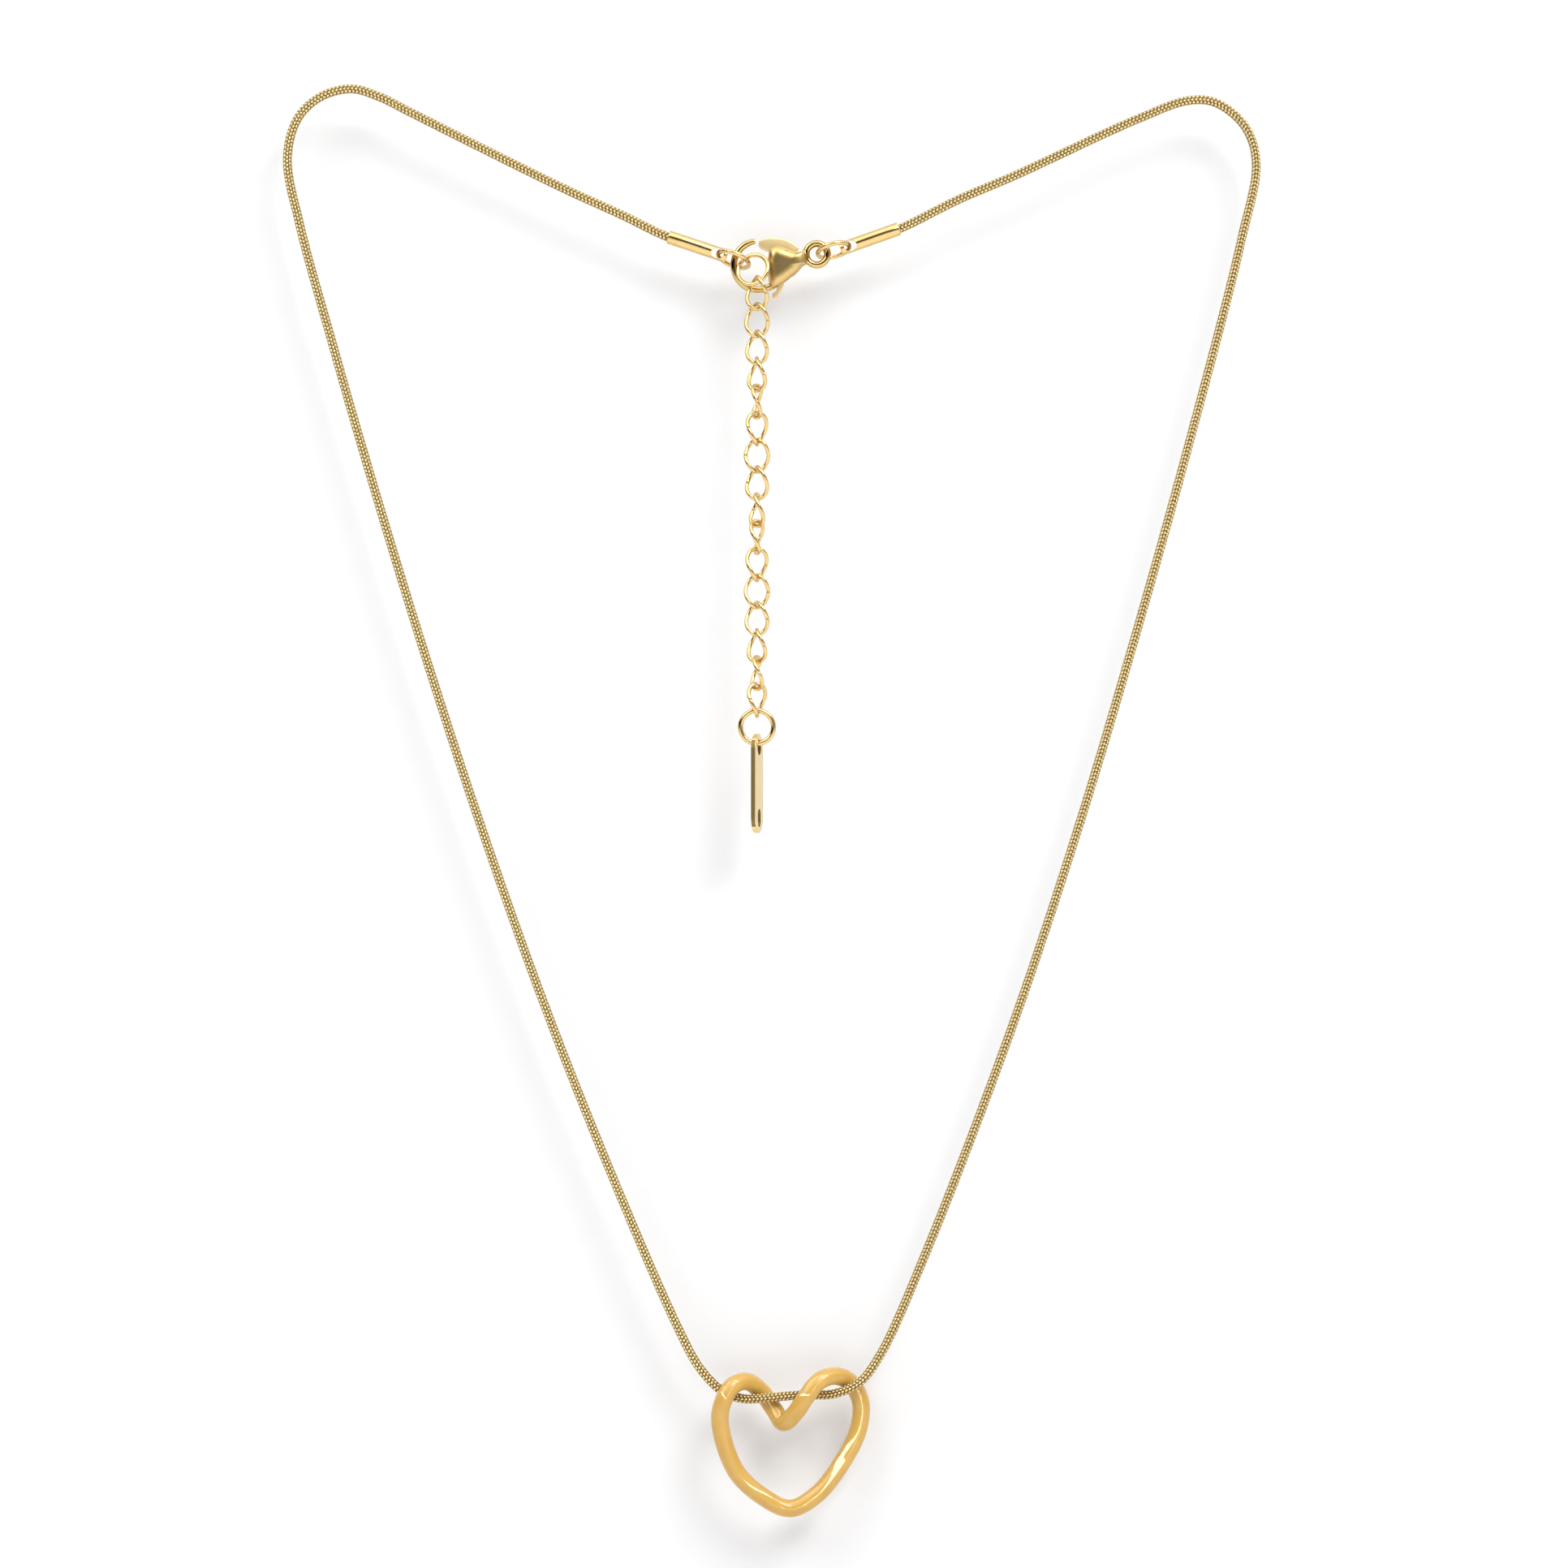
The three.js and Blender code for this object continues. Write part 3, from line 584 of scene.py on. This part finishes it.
# %% [markdown]
# ## The lobster clasp
# The clasp is a casting: a plump cheek on each side, a hook that curls away from it and a loop
# at the neck. The cheeks are one pillow. The slot between them is sawn out afterwards, and the
# lever sits in it. Rebuilding the skin on a fine lattice and smoothing it melts the hook and the
# loop into the body, as in a real casting.

# %% The casting
CHEEK = [
    (0.92, -2.7), (0.86, -0.6), (1.1, 0.7), (1.5, 1.5), (2.05, 1.78), (2.7, 1.55), (3.4, 1.15),
    (4.5, 0.6), (5.1, 0.5), (5.1, -0.75), (4.55, -1.0), (4.05, -1.42), (3.0, -2.02), (1.9, -2.5),
]
LEVER_SPACE = [
    (1.36, -4.0), (3.3, -4.0), (3.32, -1.0), (3.45, -0.25), (3.95, 0.2), (4.72, 0.75),
    (4.7, 3.4), (0.3, 3.4), (0.6, 0.9), (1.36, 0.25),
]
CLASP_THICKNESS, LEVER_SLOT, LOOP_HOLE = 2.2, 0.96, 1.48
CHEEK_MIDDLE = np.array([2.5, -0.5])
NEARLY_ROUND = 0.0001


def pillow(name, outline, thickness, middle, steps=14):
    """point = middle + (outline - middle) r and z = half the thickness (1 - r^4)^(1/2), from
    the middle of the back over the rim to the middle of the front."""
    b = np.linspace(-np.pi / 2, np.pi / 2, 2 * steps + 1)[1:-1]
    r = np.cos(b) ** 0.5
    z = thickness / 2 * np.sin(b)
    flat = middle + (outline - middle)[None] * r[:, None, None]
    grid = np.concatenate([flat, np.broadcast_to(z[:, None, None], flat.shape[:2] + (1,))], -1)
    return surface(name, grid)


def arc_wire(name, radius, diameter, start, end, tip, sides=24, steps=72):
    """A round wire along a circle, from one angle to another, thinner at its tip."""
    line = circle(radius, np.radians(np.linspace(start, end, steps)))
    r = diameter / 2 * np.interp(np.linspace(0, 1, steps), [0, 0.12, 0.97, 1], [tip, 1, 1, 0.9])
    _, side, up = directions(line, UPWARD)
    return surface(name, line[:, None] + r[:, None, None] * round_it(side, up, sides))


def whole_ring(name, radius, diameter, middle, sides=24, steps=64):
    """A torus: (R + r cos b) round the middle, and r sin b across."""
    line = circle(radius, 2 * np.pi * np.arange(steps) / steps) + (middle, 0, 0)
    _, side, up = directions(line, UPWARD, closed=True)
    return surface(name, line[:, None] + diameter / 2 * round_it(side, up, sides), wrap=True)


cheek_outline = smooth_line(CHEEK, closed=True, per_span=8)[::-1]
loop_hole = stadium(LOOP_HOLE, LOOP_HOLE + NEARLY_ROUND) + (LOOP_OFFSET, 0)
casting = carved(
    "clasp_casting",
    pillow("pillow", cheek_outline, CLASP_THICKNESS, CHEEK_MIDDLE),
    ("UNION", arc_wire("hook", HOOK_RADIUS, HOOK_WIRE, 86, 300, 0.72)),
    ("UNION", whole_ring("loop", LOOP_RADIUS, LOOP_WIRE, LOOP_OFFSET)),
    ("DIFFERENCE", plate("hole", loop_hole, THROUGH)),
    ("DIFFERENCE", plate("saw", np.array(LEVER_SPACE), LEVER_SLOT)),
    voxel=0.055, smooth=3,
)
placed(casting, lambda p: upright(p, HOOK_CENTRE, CLASP_TILT), soft_angle=60)
piece("clasp_casting", casting, "clasp", "clasp_body", slot="satin_gold")

# %% The lever
LEVER = [
    (0.52, 2.3), (0.62, 2.47), (0.95, 2.57), (1.6, 2.57), (2.25, 2.43), (3.0, 2.22), (3.7, 1.85),
    (4.25, 1.35), (4.55, 0.92), (4.2, 0.72), (3.7, 0.3), (3.1, 0.08), (2.6, 0.05), (2.34, -0.6),
    (2.3, -2.45), (1.74, -3.23), (1.3, -3.73), (0.9, -3.73), (0.96, -3.2), (1.46, -2.85),
    (1.48, -0.8), (1.52, 0.3), (1.4, 1.1), (0.58, 1.72), (0.46, 2.0),
]
PIVOT = np.array([3.1, 0.75])
LEVER_THICKNESS, LEVER_ROUND, LEVER_BORE = 0.8, 0.1, 0.62
lever_outline = smooth_line(LEVER, closed=True, per_span=6)[::-1]
blank = plate("lever", lever_outline, LEVER_THICKNESS, rim=LEVER_ROUND)
pin_bore = plate("pin_bore", stadium(LEVER_BORE, LEVER_BORE + NEARLY_ROUND) + PIVOT, THROUGH)
lever = carved("clasp_trigger", blank, ("DIFFERENCE", pin_bore))
placed(lever, lambda p: upright(p, HOOK_CENTRE, CLASP_TILT))
piece("clasp_trigger", lever, "lever", "clasp_lever", slot="lever_gold")

# %% The pin and the spring inside
PIN_RADIUS, PIN_HALF, PIN_CHAMFER = 0.25, 0.82, 0.03
pin = turned("clasp_pin", [
    (AXIS, -PIN_HALF), (PIN_RADIUS - PIN_CHAMFER, -PIN_HALF), (PIN_RADIUS, PIN_CHAMFER - PIN_HALF),
    (PIN_RADIUS, PIN_HALF - PIN_CHAMFER), (PIN_RADIUS - PIN_CHAMFER, PIN_HALF), (AXIS, PIN_HALF),
])
lie = turn_about("x", 90).T
to_pivot = np.array([PIVOT[0], PIVOT[1], 0.0])
placed(pin, lambda p: upright(p @ lie.T + to_pivot, HOOK_CENTRE, CLASP_TILT))
piece("clasp_pin", pin, "clasp", "clasp_pivot_pin", slot="satin_gold")

COIL_RADIUS, COIL_LENGTH, COIL_TURNS, COIL_WIRE = 0.295, 0.61, 4, 0.13
COIL_MIDDLE = (2.83, -1.35, 0.0)
t = np.linspace(0, 1, 160)
round_coil = 2 * np.pi * COIL_TURNS * t
coil = np.stack([COIL_LENGTH * (t - 0.5), COIL_RADIUS * np.cos(round_coil),
                 COIL_RADIUS * np.sin(round_coil)], -1) + COIL_MIDDLE
coil = upright(coil, HOOK_CENTRE, CLASP_TILT)
mesh = wire("clasp_coil", coil, COIL_WIRE, coil - coil.mean(axis=0), sides=10)
piece("clasp_coil", mesh, "clasp", "clasp_spring", slot="spring_steel")

# %% [markdown]
# ## The tag
# The tag is stamped from sheet: a bar with round ends, a round hole for its ring and an oblong
# one at the foot. The stamp leaves the rim rough, and the rim's colour is painted dark with
# painted shade, so the rim gets its own finish. Which faces are rim can be read off their
# direction.

# %% The tag's plate
TAG_WIDTH, TAG_LENGTH, TAG_THICKNESS, TAG_TURN = 3.6, 10.4, 0.5, 77.0
TAG_HOLE, TAG_RIM, TAG_ROUND = 1.6, 0.65, 0.07
SLOT_WIDTH, SLOT_LENGTH, HOLE_TO_EDGE = 1.3, 1.9, 0.4
tag_top = TAG_RIM + TAG_HOLE / 2
tag_middle = tag_top - TAG_LENGTH / 2
slot_middle = tag_top - TAG_LENGTH + TAG_RIM + SLOT_LENGTH / 2
tag_at = tag_ring_at + np.array([0, 0, TAG_WIRE / 2 + CONTACT - TAG_RADIUS - TAG_HOLE / 2])
tag = carved(
    "tag_plate",
    plate("bar", stadium(TAG_WIDTH, TAG_LENGTH, tag_middle, 48), TAG_THICKNESS, TAG_ROUND),
    ("DIFFERENCE", plate("round_hole", stadium(TAG_HOLE, TAG_HOLE + NEARLY_ROUND), 2.0)),
    ("DIFFERENCE", plate("slot_hole", stadium(SLOT_WIDTH, SLOT_LENGTH, slot_middle), 2.0)),
)
normals, centres = np.zeros((2, len(tag.polygons) * 3), np.float32)
tag.polygons.foreach_get("normal", normals)
tag.polygons.foreach_get("center", centres)
normals, centres = normals.reshape(-1, 3), centres.reshape(-1, 3)
from_end = np.abs(centres[:, 1] - tag_middle) - (TAG_LENGTH - TAG_WIDTH) / 2
in_hole = np.hypot(centres[:, 0], np.maximum(from_end, 0)) < TAG_WIDTH / 2 - HOLE_TO_EDGE
tag_rim = (np.abs(normals[:, 2]) < 0.5) & (in_hole | (np.abs(normals[:, 1]) < 0.6))
swing = turn_about("y", TAG_TURN)
placed(tag, lambda p: upright(p @ swing.T, tag_at))
piece("tag_plate", tag, "tag", "end_tag", slot="tag_gold")
print("rim faces of the tag:", int(tag_rim.sum()))

# %% [markdown]
# ## Shader maths as Python
# A finish is a small program made of nodes. Written as nodes it is long. A value that knows how
# to add, subtract and multiply itself lets us write the sums as ordinary Python.

# %% A value in a shader
class Value:
    """One output of a node. Sums on it add Math nodes to its tree."""

    def __init__(self, nodes, socket):
        self.nodes, self.socket = nodes, socket

    def _sum(self, operation, *terms, clamp=False):
        settings = {"operation": operation, "use_clamp": clamp}
        return self.nodes.node("ShaderNodeMath", settings, dict(enumerate(terms)))

    def __add__(self, other): return self._sum("ADD", self, other)
    def __radd__(self, other): return self._sum("ADD", other, self)
    def __sub__(self, other): return self._sum("SUBTRACT", self, other)
    def __rsub__(self, other): return self._sum("SUBTRACT", other, self)
    def __mul__(self, other): return self._sum("MULTIPLY", self, other)
    def __rmul__(self, other): return self._sum("MULTIPLY", other, self)
    def clamped(self): return self._sum("ADD", self, 0.0, clamp=True)
    def wave(self): return self._sum("PINGPONG", self, 0.5)
    def size(self): return self._sum("ABSOLUTE", self)


class Nodes:
    """A node tree, and one method that makes any node in it."""

    def __init__(self, tree):
        self.tree = tree

    def node(self, kind, settings=None, inputs=None, output=0):
        made = self.tree.nodes.new(kind)
        for key, value in (settings or {}).items():
            setattr(made, key, value)
        for key, value in (inputs or {}).items():
            if isinstance(value, Value):
                self.tree.links.new(value.socket, made.inputs[key])
            else:
                made.inputs[key].default_value = value
        return Value(self, made.outputs[output])

    def split(self, vector):
        """The three numbers of a vector."""
        parts = self.node("ShaderNodeSeparateXYZ", None, {0: vector}).socket.node.outputs
        return [Value(self, parts[k]) for k in range(3)]


class Finish(Nodes):
    """One material and the nodes that feed its shader. It is a metal unless told otherwise."""

    def __init__(self, name, **constants):
        self.material = bpy.data.materials.new(name)
        self.material.use_nodes = True
        super().__init__(self.material.node_tree)
        self.shader = next(n for n in self.tree.nodes if n.type == "BSDF_PRINCIPLED")
        self.shader.inputs["Metallic"].default_value = 1.0
        for socket, value in constants.items():
            self.shader.inputs[socket.replace("_", " ")].default_value = value

    def place_mm(self):
        """Object coordinates in millimetres."""
        place = self.node("ShaderNodeTexCoord", output="Object")
        return self.node("ShaderNodeVectorMath", {"operation": "SCALE"}, {0: place, 3: 1000.0})

    def along(self):
        """How far along the wire, and how far round it."""
        return self.split(self.node("ShaderNodeUVMap", {"uv_map": "along"}))[:2]

    def noise(self, place, scale, detail=2.0):
        inputs = {"Vector": place, "Scale": scale, "Detail": detail}
        return self.node("ShaderNodeTexNoise", None, inputs)

    def stretched(self, place, x, y, z):
        inputs = {"Vector": place, "Scale": (x, y, z)}
        return self.node("ShaderNodeMapping", None, inputs)

    def total(self, place):
        """x + y + z of a vector: its dot product with (1, 1, 1)."""
        settings, inputs = {"operation": "DOT_PRODUCT"}, {0: place, 1: (1.0, 1.0, 1.0)}
        return self.node("ShaderNodeVectorMath", settings, inputs, output="Value")

    def mix(self, factor, one, two):
        settings = {"data_type": "RGBA"}
        return self.node("ShaderNodeMix", settings, {0: factor, 6: one, 7: two}, output=2)

    def feed(self, **sockets):
        for name, value in sockets.items():
            self.tree.links.new(value.socket, self.shader.inputs[name.replace("_", " ")])

    def bump(self, height, distance_mm):
        inputs = {"Height": height, "Distance": distance_mm * MM, "Strength": 1.0}
        self.feed(Normal=self.node("ShaderNodeBump", None, inputs))


# %% [markdown]
# ## Finishes
# All the metal is steel plated with gold, but each piece was finished in its own way. The chain
# and the wires are tumbled until they shine. The heart is polished by hand and lacquered, so it
# has a soft gold body under a sharp gloss. The clasp's cheeks are satin.

# %% Chain gold: a bright bead on each band, and grooves between them painted dark with painted shade
chain_gold = Finish("chain_gold")
bands_along, turn_round = chain_gold.along()
flat_along = 1.0 - bands_along.wave() * 2.0
flat_round = 1.0 - (turn_round * (2.0 * WAVES) + 0.5).wave() * 2.0
bead = (1.0 - flat_along * flat_along) * (1.0 - flat_round * flat_round)
# The dark colour in the grooves is painted shade for the shade in the recesses between bands; the
# higher roughness there is real.
groove_painted_shade = (1.3 - bead * 2.0).clamped()
speckle = chain_gold.noise(chain_gold.place_mm(), 2.5)
bright = chain_gold.mix(speckle, (0.72, 0.535, 0.235, 1), (0.83, 0.655, 0.34, 1))
chain_gold.feed(
    Base_Color=chain_gold.mix(groove_painted_shade * 0.88, bright, (0.13, 0.08, 0.025, 1)),
    Roughness=0.11 + groove_painted_shade * 0.3 + speckle * 0.05,
)
chain_gold.bump(bead, 0.11)

# %% Wire gold
wire_gold = Finish("wire_gold")
place = wire_gold.place_mm()
tone = wire_gold.noise(place, 0.9)
pits = wire_gold.noise(place, 9.0, 4.0)
wire_gold.feed(
    Base_Color=wire_gold.mix(tone, (0.63, 0.43, 0.16, 1), (0.75, 0.55, 0.26, 1)),
    Roughness=0.13 + pits * 0.12,
)
wire_gold.bump(pits, 0.004)

# %% Heart gold
heart_gold = Finish("heart_gold", Metallic=0.0, Specular_IOR_Level=0.15, Coat_Weight=1.0,
                    Coat_Roughness=0.02, Coat_IOR=1.42)
place = heart_gold.place_mm()
cloud = heart_gold.noise(place, 0.45)
grain = heart_gold.noise(place, 14.0, 3.0)
heart_gold.feed(
    Base_Color=heart_gold.mix(cloud, (0.47, 0.262, 0.045, 1), (0.58, 0.355, 0.08, 1)),
    Roughness=0.36 + cloud * 0.10,
)
heart_gold.bump(grain, 0.001)

# %% Satin gold: the cheeks are brushed, the hook and the loop are bright
satin_gold = Finish("satin_gold")
place = satin_gold.place_mm()
cloud = satin_gold.noise(place, 0.8)
brushed = satin_gold.noise(satin_gold.stretched(place, 6.0, 20.0, 40.0), 1.4, 3.0)
clasp_axis = turn_about("y", CLASP_TILT)[0]
from_middle = satin_gold.total(satin_gold.stretched(place, *clasp_axis))
along_clasp = from_middle - float(clasp_axis @ HOOK_CENTRE)
cheek = ((along_clasp - 0.7) * 3.0).clamped() * ((5.2 - along_clasp) * 3.0).clamped()
satin_gold.feed(
    Base_Color=satin_gold.mix(cloud, (0.53, 0.36, 0.13, 1), (0.65, 0.465, 0.195, 1)),
    Roughness=0.13 + cheek * (0.13 + brushed * 0.08),
)
satin_gold.bump(brushed * cheek, 0.002)

# %% Lever gold
lever_gold = Finish("lever_gold")
place = lever_gold.place_mm()
sand = lever_gold.noise(place, 16.0, 3.0)
lever_gold.feed(
    Base_Color=lever_gold.mix(sand, (0.80, 0.60, 0.28, 1), (0.88, 0.70, 0.38, 1)),
    Roughness=0.34 + sand * 0.16,
)
lever_gold.bump(sand, 0.006)

# %% Tag face, tag rim and spring
tag_gold = Finish("tag_gold")
place = tag_gold.place_mm()
cloud = tag_gold.noise(place, 0.7)
scratch = tag_gold.noise(tag_gold.stretched(place, 30.0, 30.0, 1.5), 1.0, 3.0)
tag_gold.feed(
    Base_Color=tag_gold.mix(cloud, (0.75, 0.56, 0.25, 1), (0.83, 0.65, 0.33, 1)),
    Roughness=0.24 + scratch * 0.12,
)
tag_gold.bump(scratch, 0.003)

# The tag rim's dark colour is painted shade; its roughness and torn texture are real.
tag_edge = Finish("tag_edge")
place = tag_edge.place_mm()
tear = tag_edge.noise(tag_edge.stretched(place, 3.0, 3.0, 22.0), 1.0, 4.0)
tag_edge.feed(
    Base_Color=tag_edge.mix(tear, (0.10, 0.07, 0.02, 1), (0.32, 0.24, 0.10, 1)),
    Roughness=0.36 + tear * 0.2,
)
tag_edge.bump(tear, 0.02)

spring_steel = Finish("spring_steel")
shade = spring_steel.noise(spring_steel.place_mm(), 6.0)
spring_steel.feed(
    Base_Color=spring_steel.mix(shade, (0.42, 0.42, 0.43, 1), (0.62, 0.61, 0.60, 1)),
    Roughness=0.22 + shade * 0.15,
)

# %% Dress every piece
FINISHES = {
    "chain_gold": chain_gold, "ring_gold": wire_gold, "heart_gold": heart_gold,
    "satin_gold": satin_gold, "lever_gold": lever_gold, "tag_gold": tag_gold,
    "spring_steel": spring_steel,
}
for made in [o for o in bpy.data.objects if o.get("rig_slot")]:
    made.data.materials.clear()
    made.data.materials.append(FINISHES[made["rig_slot"]].material)
for node in frame["nodes"].values():
    node.data.materials.clear()
    node.data.materials.append(wire_gold.material)
tag.materials.append(tag_edge.material)
tag.polygons.foreach_set("material_index", tag_rim.astype(np.int32))
print("finishes:", ", ".join(FINISHES))

# %% [markdown]
# ## The stage
# The necklace hangs a few millimetres in front of a white wall, above a pale floor. The wall is
# seen only from its front, so the necklace can be looked at from behind too.

# %% Wall and floor
def sheet_of(name, corners):
    mesh = bpy.data.meshes.new(name)
    mesh.from_pydata(corners, [], [(0, 1, 2, 3)])
    made = bpy.data.objects.new(name, mesh)
    bpy.context.scene.collection.objects.link(made)
    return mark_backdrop(made) or made


WALL_BACK = 4.5 * MM
FLOOR_LEVEL = cad_box[0][2] - 12 * MM
FAR = 1.5
SQUARE = [(-FAR, -FAR), (FAR, -FAR), (FAR, FAR), (-FAR, FAR)]
wall = sheet_of("wall", [(x, WALL_BACK, z) for x, z in SQUARE])
floor = sheet_of("floor", [(x, y, FLOOR_LEVEL) for x, y in SQUARE])

white_wall = Finish("white_wall", Base_Color=(0.72, 0.72, 0.725, 1), Metallic=0.0, Roughness=0.9)
clear = white_wall.node("ShaderNodeBsdfTransparent")
from_behind = white_wall.node("ShaderNodeNewGeometry", output="Backfacing")
paint = Value(white_wall, white_wall.shader.outputs[0])
seen = white_wall.node("ShaderNodeMixShader", None, {0: from_behind, 1: paint, 2: clear})
out = next(n for n in white_wall.tree.nodes if n.type == "OUTPUT_MATERIAL")
white_wall.tree.links.new(seen.socket, out.inputs["Surface"])
pale_floor = Finish("pale_floor", Metallic=0.0, Roughness=0.8)
dust = pale_floor.noise(pale_floor.place_mm(), 0.02)
pale_floor.feed(Base_Color=pale_floor.mix(dust, (0.86, 0.86, 0.87, 1), (0.90, 0.90, 0.90, 1)))
wall.data.materials.append(white_wall.material)
floor.data.materials.append(pale_floor.material)

# %% [markdown]
# ## Light
# Polished metal shows what is around it more than the light that falls on it. So the room
# matters: it is brightest overhead in front, darker on the left and lighter on the right, with a
# dark band a little above the level of the eye. Looked at directly, the room is plain white. One
# lamp lights the wall alone, and a thin frame of lamps that light the heart alone draws the fine
# bright outlines on it.

# %% The white room
ROOM_LEVEL, LOOKED_AT_LEVEL = 0.30, 0.98
world = bpy.data.worlds.new("room")
bpy.context.scene.world = world
world.use_nodes = True
room = Nodes(world.node_tree)
background = next(n for n in room.tree.nodes if n.type == "BACKGROUND")
aside, behind, height = room.split(room.node("ShaderNodeTexCoord", output="Generated"))
overhead = ((height - 0.48) * 8.0).clamped()
ahead = (0.5 - behind * 4.0).clamped()
dark_band = (2.6 - (height - 0.22).size() * 11.0).clamped()
right = ((aside - 0.5) * 6.0).clamped()
left = ((-0.4 - aside) * 6.0).clamped()
low = (0.5 - (height + 0.02) * 14.0).clamped()
level = ROOM_LEVEL + overhead * (0.4 + ahead * 1.3) + low * 0.16
level = level - dark_band * (1.0 - right) * 0.26 - left * 0.14 + right * 0.22
looked_at = room.node("ShaderNodeLightPath", output="Is Camera Ray")
level = level * (1.0 - looked_at) + looked_at * LOOKED_AT_LEVEL
room.tree.links.new(level.socket, background.inputs["Strength"])
background.inputs["Color"].default_value = (1.0, 1.0, 1.0, 1)

# %% Lamps
def lamp(name, place, aim, width, height, power, up=UPWARD):
    """A lamp that looks from its place at aim, with its height along up."""
    data = bpy.data.lights.new(name, "AREA")
    data.shape, data.size, data.size_y, data.energy = "RECTANGLE", width, height, power
    made = bpy.data.objects.new(name, data)
    made.location = place
    back = unit(np.array(place, float) - np.array(aim, float))
    x = unit(np.cross(up, back))
    matrix = np.stack([x, np.cross(back, x), back], 1)
    made.rotation_euler = Matrix(matrix.tolist()).to_euler()
    made.visible_camera = False
    bpy.context.scene.collection.objects.link(made)
    return made


AIM = (0.0, 0.0, -0.08)
lamp("key", (0.26, -0.42, 0.36), AIM, 0.26, 0.26, 2.1)
lamp("fill", (-0.36, -0.40, 0.30), AIM, 0.26, 0.26, 0.9)

wall_only = bpy.data.collections.new("wall_only")
wall_only.objects.link(wall)
wall_lamp = lamp("wall_lamp", (0.05, -0.42, -0.32), (0.0, 0.0, -0.15), 0.3, 0.3, 4.9)
wall_lamp.light_linking.receiver_collection = wall_only

# %% The frame round the heart
HEART_MIDDLE = np.array([1.8, 0.0, -141.5]) * MM
FRAME_AWAY = 0.4
FRAME_CORNERS = [(19.0, -5.0), (-84.0, 32.0), (-10.0, 76.0), (60.0, 38.0)]
STRIP, STRIP_GLOW, STRIP_COLOUR = 0.017, 30.0, (1.0, 0.90, 0.66)


def toward(aside, above):
    """The direction at an angle to the side and an angle up, with 0, 0 straight to the front."""
    a, b = np.radians(aside), np.radians(above)
    return np.array([np.sin(a) * np.cos(b), -np.cos(a) * np.cos(b), np.sin(b)])


heart_only = bpy.data.collections.new("heart_only")
heart_only.objects.link(heart)
corners = [HEART_MIDDLE + FRAME_AWAY * toward(*corner) for corner in FRAME_CORNERS]
for number, (one, two) in enumerate(zip(corners, corners[1:] + corners[:1])):
    length = np.linalg.norm(two - one)
    strip = lamp(f"strip_{number}", (one + two) / 2, HEART_MIDDLE, STRIP, length,
                 STRIP_GLOW * np.pi * STRIP * length, up=two - one)
    strip.visible_diffuse = False
    strip.data.color = STRIP_COLOUR
    strip.light_linking.receiver_collection = heart_only

# %% Plain colours, no film look
bpy.context.scene.view_settings.view_transform = "Standard"
bpy.context.scene.view_settings.look = "None"
